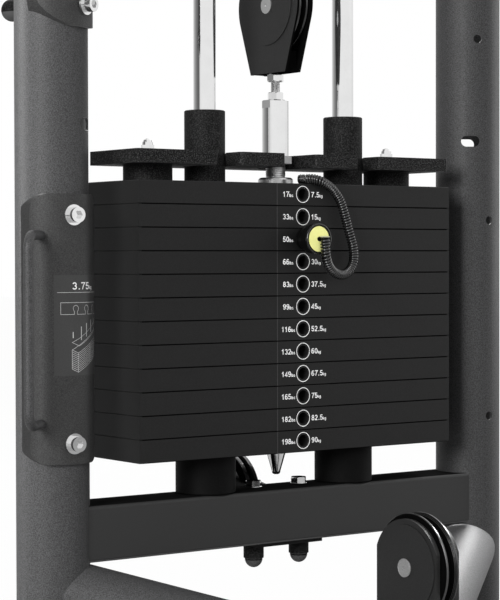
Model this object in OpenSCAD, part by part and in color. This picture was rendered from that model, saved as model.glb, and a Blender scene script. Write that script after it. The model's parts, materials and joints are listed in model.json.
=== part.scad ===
// Cable column: two round uprights that carry a pin-selected weight stack on two guide rods,
// with a floating pulley block over the stack and fixed pulleys at the foot, the rear and the top.
// X runs along the stack, Y points backward, Z is up and the floor is at Z = 0.

/* [Uprights and feet] */
// Distance between the axes of the two uprights
upright_spacing = 586.4; // [560:0.2:640]
// Outside diameter of an upright
upright_d = 77.5; // [70:0.5:84]
// Wall of an upright
upright_wall = 3; // [2:0.5:4]
// Height of the uprights above the floor
column_h = 2150; // [1900:10:2400]
// Height of the domed cap on an upright
cap_h = 14; // [8:1:20]
// Thickness of the three floor plates
foot_t = 8; // [6:1:12]
// Width of a floor plate under an upright
foot_w = 130; // [110:5:160]
// Depth of a floor plate under an upright
foot_l = 200; // [180:5:240]
// Distance between the two anchor holes of an upright's floor plate
anchor_pitch = 150; // [140:1:160]
// Diameter of a floor anchor hole
anchor_d = 14; // [10:1:16]
// Corner radius of the floor plates
foot_r = 12; // [6:1:18]

/* [Accessory holes] */
// Height of the lower accessory hole on an upright
hole_low_z = 300.5; // [290:0.5:320]
// Distance between the two accessory holes of an upright
hole_pitch = 236.5; // [200:0.5:240]
// Diameter of an accessory hole
hole_d = 10.5; // [8:0.5:12]
// Height of the slot on an upright
slot_z = 632; // [600:1:700]
// Length of the slot
slot_l = 22.5; // [18:0.5:30]
// Height of the slot opening
slot_h = 13.2; // [8:0.2:15]
// Turn of the slot from straight ahead towards the stack, in degrees
slot_turn = 37; // [25:1:45]
// Height of the clamp bolt, and of the hole opposite it on the right upright
clamp_z = 755; // [740:1:780]
// Turn of the clamp bolt from straight ahead towards the stack, in degrees
clamp_turn = 24; // [15:1:30]

/* [Beams] */
// Side of the square beams
beam_s = 60; // [50:1:66]
// Wall of the square beams
beam_wall = 3; // [2:0.5:4]
// Outside corner radius of the square beams
beam_r = 4; // [2:0.5:8]
// Height of the top face of the lower beam
beam_top_z = 232; // [200:1:260]
// Distance of the upper beam's underside from the top of the uprights
upper_beam_drop = 100; // [80:5:200]

/* [Legs] */
// Outside diameter of the two sloping legs
leg_d = 72; // [60:1:76]
// Wall of the legs
leg_wall = 3; // [2:0.5:4]
// Height of a leg's axis where it meets the axis of an upright
leg_z = 142.6; // [138:0.2:160]
// Slope of the legs below the horizontal, in degrees
leg_slope = 14.3; // [10:0.1:15]
// Turn of the legs from straight ahead towards the middle, in degrees
leg_turn = 52; // [48:1:60]
// Width of the floor plate at the front
apex_w = 170; // [150:5:200]
// Depth of the floor plate at the front
apex_l = 130; // [110:5:160]
// Distance between the two anchor holes of the front floor plate
apex_pitch = 134; // [124:1:138]
// Height of the top of the front post
post_top_z = 112; // [105:1:114]
// Thickness of the front post
post_t = 18; // [16:1:24]
// Depth of the front post
post_l = 104; // [96:2:120]

/* [Weight stack] */
// Number of plates in the stack
plate_count = 12; // [12:1:12]
// Number of plates above the selector pin, with the plate that the pin is in
lifted_count = 3; // [3:1:3]
// Width of a plate
plate_w = 435; // [400:1:450]
// Depth of a plate
plate_d = 101.4; // [90:0.2:110]
// Thickness of a plate
plate_t = 25; // [24:0.5:30]
// Chamfer round the top and bottom edges of a plate
plate_edge = 0.8; // [0.4:0.1:1.5]
// Diameter of the selector hole in the front of a plate
select_d = 13; // [12:0.5:15]
// How far a selector hole sits above the middle of its plate
select_rise = 0.4; // [0:0.1:1]
// Height of a rubber bumper under the stack
bumper_h = 43; // [35:1:60]
// Diameter of a bumper
bumper_d = 67; // [56:1:76]

/* [Guide rods] */
// Distance between the guide rods
rod_spacing = 195.5; // [180:0.5:220]
// Diameter of a guide rod
rod_d = 25; // [22:0.5:26]
// Outside diameter of a bush in a plate
bush_d = 33; // [30:0.5:38]
// Diameter of the sleeve on the head plate round a guide rod
sleeve_d = 45.4; // [40:0.2:48]
// Height of the sleeve
sleeve_h = 80; // [66:1:90]
// Outside diameter of the collar that holds a guide rod at the top
collar_d = 44; // [38:1:52]
// Height of that collar
collar_h = 18; // [12:1:24]

/* [Selector stem] */
// Diameter of the stem through the stack
stem_d = 21.6; // [19:0.2:23]
// Diameter of the cross holes in the stem
stem_hole_d = 10.6; // [10:0.2:12]
// Length of the tapered tip below the stack
tip_l = 29; // [29:1:34]
// Length of the cone at the end of that tip
tip_cone_l = 23.7; // [16:0.1:28]
// Diameter of the flange nut on the head plate
flange_nut_d = 40; // [34:1:44]
// Height of the flange nut
flange_nut_h = 8; // [5:0.5:10]
// Distance across the flats of the lock nut
lock_nut_af = 32; // [28:0.5:33]
// Height of the lock nut
lock_nut_h = 8; // [6:0.5:10]
// Height of the lock nut's underside over the head plate
lock_nut_z = 23.7; // [20:0.1:26]
// Diameter of the coupling over the lock nut
coupling_d = 30.4; // [27:0.2:34]
// Height of the coupling
coupling_h = 64; // [50:0.2:70]
// Diameter of the stud between the coupling and the pulley block
stud_d = 9.6; // [8:0.2:12]
// Distance across the flats of the two stud nuts
stud_nut_af = 17; // [15:0.5:19]
// Height of a stud nut
stud_nut_h = 9; // [6:0.5:10]
// Bare length of stud between its two nuts
stud_gap = 12.1; // [8:0.1:14]

/* [Selector pin] */
// Diameter of the pin
pin_d = 9.6; // [8:0.2:10]
// How far the pin reaches past the middle of the stem
pin_past = 16; // [13:1:24]
// Diameter of the knob
knob_d = 33.5; // [28:0.5:38]
// Length of the knob
knob_l = 27; // [20:0.5:28]
// Distance of the knob's face from the front of the plate
knob_reach = 29.5; // [28.5:0.1:34]
// Diameter of the yellow disc on the knob
disc_d = 28.6; // [24:0.2:31]

/* [Add-on weight] */
// Thickness of the add-on plate
add_t = 15; // [10:0.5:18]
// Height of a rubber pad under it
pad_h = 18.2; // [15:0.1:22]
// Diameter of a pad
pad_d = 54; // [44:1:60]
// Distance between the pads
pad_spacing = 337.8; // [320:0.2:350]
// How far the pads sit behind the middle of the plate
pad_back = 6.4; // [0:0.1:12]
// Width of the middle slot
middle_slot_w = 42; // [38:0.5:44]
// Width of the neck of a side notch
neck_w = 29.5; // [27:0.5:34]
// Radial clearance of a side notch round the sleeve
bulb_gap = 1.8; // [1:0.1:3]
// Radius of the flare at the mouth of a slot
flare_r = 8.5; // [5:0.5:10]
// Distance across the flats of the domed nut over a pad
dome_nut_af = 13; // [11:0.5:15]

/* [Pulleys] */
// Diameter of a pulley wheel
sheave_d = 106; // [100:1:108]
// Width of a pulley wheel at its rim
sheave_w = 17; // [15:0.5:20]
// Width of the rope groove at the rim
groove_w = 7; // [6:0.5:8]
// Depth of the rope groove
groove_depth = 8; // [6:0.5:10]
// Diameter of a pulley axle
axle_d = 16; // [12:0.5:18]
// Diameter of an axle's head
axle_head_d = 19.4; // [18:0.2:24]
// Height of an axle's head
axle_head_h = 1.2; // [1:0.2:4]
// Gap between a pulley wheel's rim and a cheek
side_gap = 1.6; // [0.8:0.1:2]
// Radial running clearance on an axle
axle_gap = 0.06; // [0.03:0.01:0.1]

/* [Floating pulley block] */
// Width of the floating pulley wheel
block_sheave_w = 13; // [9:0.5:14]
// Thickness of a cheek of the floating block
block_cheek_t = 2.8; // [2.4:0.1:6]
// Radius of the round top of the block
block_r = 55.7; // [54:0.1:60]
// Height of the block's axle over its underside
block_axle_h = 76.7; // [72:0.1:90]
// Width of the block at its underside
block_base_w = 65; // [50:1:80]
// Diameter of the floating pulley wheel
block_sheave_d = 106; // [98:1:108]
// Radius of the raised disc on the outer face of a cheek
ring_r = 45; // [38:0.5:46]
// Thickness of that disc
ring_proud = 1.2; // [0.6:0.1:2]

/* [Front pulley] */
// Height of the front pulley's axle
front_z = 171; // [168:1:176]
// Distance of the front pulley's axle in front of the uprights' plane
front_y = 245; // [236:0.5:256]
// Diameter of the front pulley wheel
front_sheave_d = 112; // [106:1:113]
// Width of the rope groove at the rim of the front wheel
front_groove_w = 12.5; // [8:0.5:13]
// Thickness of a cheek of the front pulley
front_cheek_t = 5.5; // [5:0.5:9]
// Radius of the round top of a front cheek
front_cheek_r = 50.5; // [48:0.5:52]
// Half width of a front cheek below the axle
front_cheek_half = 47; // [46:0.5:48]
// Height of the underside of the front cheeks
front_cheek_z = 96; // [94:1:100]

/* [Rear pulley] */
// Height of the rear pulley's axle
rear_z = 213; // [208:1:222]
// Distance of the rear pulley's axle behind the uprights' plane
rear_y = 94; // [88:1:104]
// Thickness of the rear bracket's base plate
rear_base_t = 3.5; // [3:0.5:8]
// Width of the rear bracket's base plate
rear_base_w = 92; // [88:1:110]
// Thickness of a cheek of the rear bracket
rear_cheek_t = 4; // [3:0.5:6]
// Distance between the two bolts through the lower beam
beam_bolt_spacing = 64; // [56:0.5:72]
// Diameter of those bolts
beam_bolt_d = 10; // [8:0.5:12]
// Diameter of the round nut cover under the beam
cover_d = 23; // [20:0.5:26]

/* [Top pulleys] */
// Distance of the top pulleys' axles below the upper beam
top_pulley_drop = 65; // [62:1:80]
// Distance between the top pulleys' axles
top_spacing = 196; // [180:1:220]
// Thickness of a cheek of the top bracket
top_cheek_t = 5; // [4:0.5:8]

/* [Saddle plate and handle] */
// Thickness of the saddle plates
saddle_t = 5; // [3:0.5:6]
// Height of the lower edge of the saddle plate
saddle_z = 279; // [270:1:285]
// Height of the saddle plate
saddle_h = 280; // [270:1:300]
// Half of the angle that the saddle plate wraps, in degrees
saddle_half = 62; // [55:1:70]
// Corner radius of the saddle plate
saddle_r = 14; // [8:1:20]
// Diameter of the handle's rod
handle_d = 10; // [8:0.5:14]
// Distance between the handle's feet
handle_l = 194.5; // [160:0.5:200]
// Height of the middle of the handle
handle_z = 418.8; // [410:0.2:428]
// Turn of the handle from straight ahead away from the stack, in degrees
handle_turn = 46; // [40:1:50]
// Distance of the handle's bar from the upright's axis
handle_reach = 88; // [80:1:100]
// Bend radius of the handle
handle_bend = 16; // [12:1:24]
// Washer diameter of the accessory bolts
washer_d = 21.6; // [18:0.2:24]
// Head diameter of the accessory bolts
head_d = 16; // [14:0.5:18]
// Head height of the accessory bolts
head_h = 9; // [7:0.5:10]

/* [Clamp saddle] */
// Distance of the clamp saddle's lower edge below the clamp bolt
clamp_drop = 23; // [15:1:32]
// Height of the clamp saddle
clamp_h = 130; // [110:5:160]
// Half of the angle that the clamp saddle wraps, in degrees
clamp_half = 74; // [66:1:82]
// Corner radius of the clamp saddle
clamp_r = 28; // [16:1:30]
// Radius of the round nut cover behind the clamp saddle
ball_r = 12; // [11:0.5:18]
// Distance of its round end's centre from the upright
ball_out = 11; // [6:0.5:14]

/* [Lanyard] */
// Outer diameter of the curly lanyard
curl_d = 10.4; // [9:0.2:10.6]
// Diameter of the lanyard's cord
cord_d = 2; // [1.8:0.1:2.5]
// Number of curls
curls = 64; // [44:1:66]

/* [Hidden] */

round_fn = 96;
small_fn = 48;
cut = 1;
touch = 0.05;
slide_gap = 0.3;
blind = 1;
charcoal = [0.30, 0.31, 0.32];
black = [0.12, 0.12, 0.13];
rubber = [0.08, 0.08, 0.08];
chrome = [0.86, 0.86, 0.88];
yellow = [0.92, 0.92, 0.30];

upright_x = upright_spacing / 2;
upright_r = upright_d / 2;
beam_half = beam_s / 2;
beam_z = beam_top_z - beam_half;
beam_low_z = beam_top_z - beam_s;
upper_beam_z = column_h - upper_beam_drop;
upper_beam_mid = upper_beam_z + beam_half;
top_z = upper_beam_z - top_pulley_drop;
stack_z = beam_top_z + bumper_h;
stack_top = stack_z + plate_count * plate_t;
rod_x = rod_spacing / 2;
rod_bore = rod_d + 2 * slide_gap;
stem_gap = 1.3;
rod_low_z = beam_low_z + beam_wall;
rod_proud = 6;
rod_top_z = upper_beam_z + beam_s + collar_h + rod_proud;
apex_y = -upright_x / tan(leg_turn);
apex_z = leg_z - upright_x / sin(leg_turn) * tan(leg_slope);
leg_len = upright_x / sin(leg_turn) / cos(leg_slope);
stem_bore = stem_d + 2 * stem_gap;
lock_nut_top = stack_top + lock_nut_z + lock_nut_h;
coupling_top = lock_nut_top + coupling_h;
block_z = coupling_top + 2 * stud_nut_h + stud_gap;
block_axle_z = block_z + block_axle_h;
block_half = block_sheave_w / 2 + side_gap + block_cheek_t;
pin_z = stack_top - (lifted_count - 0.5) * plate_t + select_rise;
plate_front = -plate_d / 2;
knob_face = plate_front - knob_reach;
add_z = stack_top + pad_h;
add_top = add_z + add_t;
pad_x = pad_spacing / 2;
front_half = sheave_w / 2 + side_gap + front_cheek_t;
rear_half = sheave_w / 2 + side_gap + rear_cheek_t;
top_half = sheave_w / 2 + side_gap + top_cheek_t;
saddle_out = upright_r + saddle_t;
bolt_x = beam_bolt_spacing / 2;

// Lengths of thread held in the piece that a stem, stud or screw goes into
stem_hold = 20;
stud_hold = 24;
block_hold = 12;
screw_hold = 16;
cap_hold = 20;

// Running gap between a pulley wheel's hub and a cheek
hub_gap = 0.4;

// Fasteners
screw_d = 10;
washer_t = 2;
post_bolt_d = 8;
post_bolt_af = 13;
post_bolt_head = 5;
post_bolt_reach = 28;
post_bolt_y = [-front_y - post_bolt_reach, -front_y + post_bolt_reach];
post_bolt_z = (front_cheek_z + post_top_z) / 2;
dome_stud_d = 8;
cover_hold = 12;
anchor_l = 8.7;
disc_t = 1.5;
fitting_reach = 6.2;
cap_gap = 0.2;
pin_clear = 2;

// The lanyard's route from the fitting on the knob to the anchor on the head plate
lanyard_route = [
    [3.6, -86.4, 512.6], [3.6, -86.4, 506], [4.1, -86.2, 499.5], [6.3, -85, 491.8], [11.8, -81.6, 483.8],
    [22.2, -77.4, 476.7],
    [36.3, -73.5, 473], [50, -70, 476.8], [58.2, -67.5, 485.2], [61, -65.5, 495.1], [60.5, -64, 506],
    [58.1, -62.6, 516.6], [55.2, -61.2, 528], [51.5, -60, 542.5], [45.5, -59.2, 557.5],
    [34.5, -58.6, 570.5], [21.5, -56.8, 578], [13.5, -51.6, 580.8], [7, -46, 580.8]];
route_last = len(lanyard_route) - 1;
curl_rings = 8;
cord_sides = 6;
lead_rings = 2;
ring_count = curls * curl_rings + lead_rings;

// Plain helpers

function tangent_point(p, r) =
    let (d = norm(p), a = atan2(p[1], p[0]) + acos(r / d)) [r * cos(a), r * sin(a)];

module tube(d, wall, h) {
    difference() {
        cylinder(d = d, h = h, $fn = round_fn);
        translate([0, 0, -cut]) cylinder(d = d - 2 * wall, h = h + 2 * cut, $fn = round_fn);
    }
}

module ring(d, bore, h, fn = round_fn) {
    difference() {
        cylinder(d = d, h = h, $fn = fn);
        translate([0, 0, -cut]) cylinder(d = bore, h = h + 2 * cut, $fn = fn);
    }
}

module rounded(w, l, r) {
    union() {
        square([w - 2 * r, l], center = true);
        square([w, l - 2 * r], center = true);
        for (x = [-1, 1], y = [-1, 1])
            translate([x * (w / 2 - r), y * (l / 2 - r)]) circle(r, $fn = small_fn);
    }
}

module hexagon(af, h) {
    cylinder(d = af / cos(30), h = h, $fn = 6);
}

module along_x(x) {
    translate([x, 0, 0]) rotate([90, 0, 90]) children();
}

module at_uprights() {
    for (side = [-1, 1]) translate([side * upright_x, 0, 0]) children();
}

module at_rods() {
    for (side = [-1, 1]) translate([side * rod_x, 0, 0]) children();
}

// Uprights and feet

module accessory_holes() {
    for (z = [hole_low_z, hole_low_z + hole_pitch])
        translate([0, 0, z]) rotate([90, 0, 0]) cylinder(d = hole_d, h = upright_d, $fn = small_fn);
}

module slot_cut(side) {
    rotate([0, 0, side * slot_turn]) translate([0, 0, slot_z]) rotate([90, 0, 0])
        linear_extrude(2 * upright_d, center = true) union() {
            square([slot_l - slot_h, slot_h], center = true);
            for (x = [-1, 1]) translate([x * (slot_l - slot_h) / 2, 0]) circle(d = slot_h, $fn = small_fn);
        }
}

module upright(side) {
    color(charcoal) translate([side * upright_x, 0, 0]) difference() {
        translate([0, 0, foot_t]) tube(upright_d, upright_wall, column_h - foot_t);
        accessory_holes();
        slot_cut(-side);
        rotate([0, 0, -side * clamp_turn]) translate([0, 0, clamp_z]) rotate([90, 0, 0])
            translate([0, 0, side < 0 ? -upright_d : 0])
                cylinder(d = hole_d, h = side < 0 ? 2 * upright_d : upright_d, $fn = small_fn);
    }
}

module upright_caps() {
    color(black) at_uprights() translate([0, 0, column_h]) rotate_extrude($fn = round_fn)
        polygon([[0, -cap_hold], [upright_r - upright_wall - touch, -cap_hold],
                 [upright_r - upright_wall - touch, 0], [upright_r, 0], [upright_r, 4],
                 [upright_r - 5, cap_h - 3], [upright_r - 14, cap_h], [0, cap_h]]);
}

module foot_plate(side) {
    color(charcoal) translate([side * upright_x, 0, 0]) difference() {
        linear_extrude(foot_t) rounded(foot_w, foot_l, foot_r);
        for (y = [-1, 1]) translate([0, y * anchor_pitch / 2, -cut])
            cylinder(d = anchor_d, h = foot_t + 2 * cut, $fn = small_fn);
    }
}

module front_foot_plate() {
    color(charcoal) translate([0, apex_y, 0]) difference() {
        linear_extrude(foot_t) rounded(apex_w, apex_l, foot_r);
        for (x = [-1, 1]) translate([x * apex_pitch / 2, 0, -cut])
            cylinder(d = anchor_d, h = foot_t + 2 * cut, $fn = small_fn);
    }
}

// Beams

module beam_blank(z) {
    difference() {
        along_x(-upright_x) translate([0, z, 0]) linear_extrude(upright_spacing) difference() {
            rounded(beam_s, beam_s, beam_r);
            square(beam_s - 2 * beam_wall, center = true);
        }
        at_uprights() translate([0, 0, z - beam_s])
            cylinder(d = upright_d, h = 2 * beam_s, $fn = round_fn);
    }
}

module lower_beam() {
    color(charcoal) difference() {
        beam_blank(beam_z);
        at_rods() translate([0, 0, beam_z]) cylinder(d = rod_d + 2 * touch, h = beam_s, $fn = round_fn);
        for (side = [-1, 1]) translate([side * bolt_x, 0, beam_low_z - cut])
            cylinder(d = beam_bolt_d + 2 * slide_gap, h = beam_s + 2 * cut, $fn = small_fn);
    }
}

module upper_beam() {
    color(charcoal) difference() {
        beam_blank(upper_beam_mid);
        at_rods() translate([0, 0, upper_beam_z - cut])
            cylinder(d = rod_d + 2 * touch, h = beam_s + 2 * cut, $fn = round_fn);
    }
}

// Legs and the front post

module leg(side) {
    color(charcoal) difference() {
        translate([side * upright_x, 0, leg_z]) rotate([0, 0, -side * leg_turn])
            rotate([90 + leg_slope, 0, 0]) tube(leg_d, leg_wall, leg_len + leg_d);
        translate([side * upright_x, 0, 0]) cylinder(d = upright_d, h = 2 * leg_z, $fn = round_fn);
        translate([-side * upright_x + side * post_t / 2, 0, leg_z])
            cube([2 * upright_x, 2 * upright_spacing, 4 * leg_z], center = true);
        translate([-upright_spacing, -upright_spacing, foot_t - leg_z])
            cube([2 * upright_spacing, 2 * upright_spacing, leg_z]);
    }
}

module front_post() {
    color(charcoal) difference() {
        translate([-post_t / 2, apex_y - post_l / 2, foot_t]) cube([post_t, post_l, post_top_z - foot_t]);
        for (y = post_bolt_y) translate([-post_t, y, post_bolt_z]) rotate([0, 90, 0])
            cylinder(d = post_bolt_d + slide_gap, h = 2 * post_t, $fn = small_fn);
    }
}

// Guide rods, their collars and the bumpers

module guide_rods() {
    color(chrome) at_rods() translate([0, 0, rod_low_z]) {
        cylinder(d = rod_d, h = rod_top_z - rod_low_z - 1, $fn = round_fn);
        translate([0, 0, rod_top_z - rod_low_z - 1])
            cylinder(d1 = rod_d, d2 = rod_d - 2, h = 1, $fn = round_fn);
    }
}

module rod_collars() {
    color(black) at_rods() translate([0, 0, upper_beam_z + beam_s]) difference() {
        rotate_extrude($fn = round_fn)
            polygon([[rod_d / 2 + touch, 0], [collar_d / 2, 0], [collar_d / 2, collar_h - 2],
                     [collar_d / 2 - 2, collar_h], [rod_d / 2 + touch, collar_h]]);
        translate([0, 0, collar_h / 2]) rotate([90, 0, 0]) cylinder(d = 6, h = collar_d, $fn = small_fn);
    }
}

module bumpers() {
    color(rubber) at_rods() translate([0, 0, beam_top_z]) rotate_extrude($fn = round_fn)
        polygon([[rod_bore / 2, 0], [bumper_d / 2 - 1.5, 0], [bumper_d / 2, 1.5],
                 [bumper_d / 2, bumper_h - 2], [bumper_d / 2 - 2, bumper_h], [rod_bore / 2, bumper_h]]);
}

// Plates and bushes

module chamfered(w, h, e) {
    polygon([[-w / 2 + e, 0], [w / 2 - e, 0], [w / 2, e], [w / 2, h - e], [w / 2 - e, h],
             [-w / 2 + e, h], [-w / 2, h - e], [-w / 2, e]]);
}

module chamfered_block(w, d, h, e) {
    intersection() {
        along_x(-w / 2) linear_extrude(w) chamfered(d, h, e);
        translate([0, d / 2, 0]) rotate([90, 0, 0]) linear_extrude(d) chamfered(w, h, e);
    }
}

module stack_plate(i) {
    color(black) translate([0, 0, stack_top - i * plate_t]) difference() {
        chamfered_block(plate_w, plate_d, plate_t, plate_edge);
        translate([0, 0, -cut]) cylinder(d = stem_bore, h = plate_t + 2 * cut, $fn = round_fn);
        at_rods() translate([0, 0, -cut])
            cylinder(d = bush_d + 2 * touch, h = plate_t + 2 * cut, $fn = round_fn);
        translate([0, pin_past + pin_clear, plate_t / 2 + select_rise]) rotate([90, 0, 0])
            cylinder(d = select_d, h = plate_d, $fn = small_fn);
    }
}

module bushes(first, last) {
    inset = 0.5;
    color(rubber) for (i = [first : last]) at_rods() translate([0, 0, stack_top - i * plate_t + inset])
        ring(bush_d, rod_bore, plate_t - 2 * inset);
}

// Stem, nuts, coupling and sleeves

module selector_stem() {
    color(chrome) difference() {
        union() {
            translate([0, 0, stack_z])
                cylinder(d = stem_d, h = lock_nut_top + stem_hold - stack_z, $fn = round_fn);
            translate([0, 0, stack_z - tip_l]) rotate_extrude($fn = round_fn)
                polygon([[0, 0], [2.6, 0], [4, 0.8], [4.6, 2.2], [stem_d / 2, tip_cone_l], [stem_d / 2, tip_l],
                         [0, tip_l]]);
        }
        for (i = [1 : plate_count])
            translate([0, stem_d, stack_top - (i - 0.5) * plate_t + select_rise]) rotate([90, 0, 0])
                cylinder(d = stem_hole_d, h = 2 * stem_d, $fn = small_fn);
    }
}

module flange_nut() {
    translate([0, 0, stack_top]) rotate_extrude($fn = round_fn)
        polygon([[stem_d / 2 + touch, 0], [flange_nut_d / 2 - 0.6, 0], [flange_nut_d / 2, 0.8],
                 [flange_nut_d / 2, flange_nut_h - 2.4], [flange_nut_d / 2 - 1.6, flange_nut_h - 0.6],
                 [flange_nut_d / 2 - 3, flange_nut_h], [stem_d / 2 + touch, flange_nut_h]]);
}

module lock_nut() {
    translate([0, 0, lock_nut_top - lock_nut_h]) difference() {
        rotate([0, 0, 15]) hexagon(lock_nut_af, lock_nut_h);
        translate([0, 0, -cut]) cylinder(d = stem_d + 2 * touch, h = lock_nut_h + 2 * cut, $fn = round_fn);
    }
}

module stem_nuts() {
    color(chrome) {
        flange_nut();
        lock_nut();
    }
}

module stem_coupling() {
    flat = 2;
    flat_h = 9;
    color(chrome) translate([0, 0, lock_nut_top]) difference() {
        rotate_extrude($fn = round_fn)
            polygon([[0, stem_hold + touch], [stem_d / 2 + touch, stem_hold + touch],
                     [stem_d / 2 + touch, 0],
                     [coupling_d / 2 - 0.6, 0], [coupling_d / 2, 0.6], [coupling_d / 2, coupling_h - 0.8],
                     [coupling_d / 2 - 0.8, coupling_h], [0, coupling_h]]);
        for (side = [-1, 1]) translate([side * (coupling_d / 2 - flat) - (side < 0 ? coupling_d : 0),
                                        -coupling_d, coupling_h - flat_h])
            cube([coupling_d, 2 * coupling_d, flat_h + cut]);
        translate([0, 0, coupling_h - stud_hold - blind])
            cylinder(d = stud_d + 2 * touch, h = stud_hold + blind + cut, $fn = small_fn);
    }
}

module block_stud() {
    color(chrome) {
        translate([0, 0, coupling_top - stud_hold])
            cylinder(d = stud_d, h = block_z - coupling_top + stud_hold + block_hold, $fn = small_fn);
        stud_nuts();
    }
}

module stud_nuts() {
    for (z = [coupling_top, block_z - stud_nut_h]) translate([0, 0, z]) difference() {
        rotate([0, 0, 22]) hexagon(stud_nut_af, stud_nut_h);
        translate([0, 0, -cut]) cylinder(d = stud_d + 2 * touch, h = stud_nut_h + 2 * cut, $fn = small_fn);
    }
}

module guide_sleeves() {
    color(rubber) at_rods() translate([0, 0, stack_top]) rotate_extrude($fn = round_fn)
        polygon([[rod_bore / 2, 0], [sleeve_d / 2, 0], [sleeve_d / 2, sleeve_h - 1],
                 [sleeve_d / 2 - 1, sleeve_h], [rod_bore / 2, sleeve_h]]);
}

// Pulley wheels and axles, turning about X

module sheave(d, w, groove = groove_w) {
    r = d / 2;
    hub = axle_d / 2 + 8;
    hub_half = w / 2 + side_gap - hub_gap;
    web = w / 2 - 2.5;
    floor_r = r - groove_depth;
    side = [[axle_d / 2 + axle_gap, hub_half], [hub, hub_half], [hub + 2, web], [floor_r - 6, web],
            [floor_r - 4, w / 2], [r - 0.8, w / 2], [r, w / 2 - 0.8], [r, groove / 2],
            [floor_r + 1.5, groove_w * 0.3]];
    along_x(0) rotate_extrude($fn = round_fn) polygon(concat(
        [for (i = [0 : len(side) - 1]) [side[i][0], -side[i][1]]], [[floor_r, 0]],
        [for (i = [len(side) - 1 : -1 : 0]) side[i]]));
}

module axle(half) {
    along_x(-half) {
        cylinder(d = axle_d, h = 2 * half, $fn = small_fn);
        difference() {
            translate([0, 0, -axle_head_h])
                cylinder(d1 = axle_head_d - 0.4, d2 = axle_head_d, h = axle_head_h, $fn = small_fn);
            translate([0, 0, -axle_head_h - cut]) cylinder(d = 4, h = cut + 0.7, $fn = small_fn);
        }
        translate([0, 0, 2 * half])
            cylinder(d1 = axle_head_d, d2 = axle_head_d - 0.4, h = axle_head_h, $fn = small_fn);
    }
}

// Floating pulley block

module block_outline() {
    half = block_base_w / 2;
    corner = [half, -block_axle_h];
    t = tangent_point(corner, block_r);
    circle(block_r, $fn = round_fn);
    polygon([[-half, -block_axle_h], [half, -block_axle_h], t, [-t[0], t[1]]]);
}

// Raised disc on the outer face of a cheek, at that face's distance from the middle
module raised_disc(side, face) {
    along_x(side < 0 ? -face - ring_proud : face) difference() {
        cylinder(r = ring_r, h = ring_proud, $fn = round_fn);
        translate([0, 0, -cut])
            cylinder(d = axle_d + 2 * touch, h = ring_proud + 2 * cut, $fn = small_fn);
    }
}

module block_cheeks() {
    color(black) translate([0, 0, block_axle_z]) for (side = [-1, 1]) {
        along_x(side < 0 ? -block_half : block_half - block_cheek_t)
            linear_extrude(block_cheek_t) difference() {
                block_outline();
                circle(d = axle_d + 2 * touch, $fn = small_fn);
            }
        raised_disc(side, block_half);
    }
}

module block_spacer() {
    w = block_sheave_w + 2 * side_gap;
    spacer_h = 24;
    inset = 4;
    color(black) translate([0, 0, block_axle_z]) difference() {
        along_x(-w / 2) linear_extrude(w) difference() {
            translate([-block_base_w / 2 + inset, -block_axle_h]) square([block_base_w - 2 * inset, spacer_h]);
            circle(block_sheave_d / 2 + 2, $fn = round_fn);
        }
        translate([0, 0, -block_axle_h - cut])
            cylinder(d = stud_d + 2 * touch, h = block_hold + blind + cut, $fn = small_fn);
    }
}

module block_sheave() {
    color(black) translate([0, 0, block_axle_z]) sheave(block_sheave_d, block_sheave_w);
}

module block_axle() {
    color(chrome) translate([0, 0, block_axle_z]) axle(block_half + ring_proud);
}

// Selector pin, knob and lanyard

module selector_pin() {
    head = 2;
    tip = 2;
    straight = pin_past - knob_face - head - tip;
    color(chrome) translate([0, knob_face + head, pin_z]) rotate([-90, 0, 0]) {
        cylinder(d = pin_d, h = straight, $fn = small_fn);
        translate([0, 0, straight]) cylinder(d1 = pin_d, d2 = pin_d - 3, h = tip, $fn = small_fn);
    }
}

module pin_knob() {
    r = knob_d / 2;
    seat = disc_t + 0.1;
    grip = 11;
    foot_r = 12.5;
    color(black) translate([0, knob_face, pin_z]) rotate([-90, 0, 0]) rotate_extrude($fn = round_fn)
        polygon([[disc_d / 2 + touch, 0], [r - 1, 0], [r, 1], [r, grip], [r - 1, grip + 3],
                 [foot_r, knob_l - 5], [foot_r, knob_l - 1], [foot_r - 1, knob_l],
                 [pin_d / 2 + touch, knob_l], [pin_d / 2 + touch, seat], [disc_d / 2 + touch, seat]]);
    color(black) lanyard_fitting();
}

// The clip on the disc that the lanyard hangs from: a rivet, a short arm and a cap over the coil
module lanyard_fitting() {
    rivet_d = 5;
    rivet_h = 0.8;
    arm_w = 4;
    cap_t = 1.6;
    low = lanyard_route[0][2] + cord_d / 2 + cap_gap;
    axis = knob_face - fitting_reach;
    translate([0, knob_face, pin_z]) rotate([90, 0, 0]) cylinder(d = rivet_d, h = rivet_h, $fn = small_fn);
    translate([0, axis - arm_w / 2, low]) cube([lanyard_route[0][0], arm_w / 2 + fitting_reach, cap_t]);
    translate([lanyard_route[0][0], axis, low]) cylinder(d = curl_d - 0.8, h = cap_t, $fn = small_fn);
}

module pin_disc() {
    color(yellow) translate([0, knob_face, pin_z]) rotate([-90, 0, 0]) rotate_extrude($fn = round_fn)
        polygon([[0, 0], [disc_d / 2 - 0.6, 0], [disc_d / 2, 0.4], [disc_d / 2, disc_t], [0, disc_t]]);
}

// The end of the lanyard on the head plate: a round sleeve on a low foot
module lanyard_anchor() {
    end = lanyard_route[route_last];
    before = lanyard_route[route_last - 1];
    sleeve_r = 4.6;
    bevel = 1;
    foot_w = 6;
    color(black) translate(end) rotate([0, 0, atan2(end[1] - before[1], end[0] - before[0])]) {
        translate([cap_gap, 0, 0]) rotate([0, 90, 0]) rotate_extrude($fn = small_fn)
            polygon([[0, 0], [sleeve_r, 0], [sleeve_r, anchor_l - bevel], [sleeve_r - bevel, anchor_l],
                     [0, anchor_l]]);
        translate([bevel, -foot_w / 2, stack_top - end[2]])
            cube([anchor_l - 2 * bevel, foot_w, end[2] - stack_top]);
    }
}

// The curly lanyard: a helix swept round the route, as one tube

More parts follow.
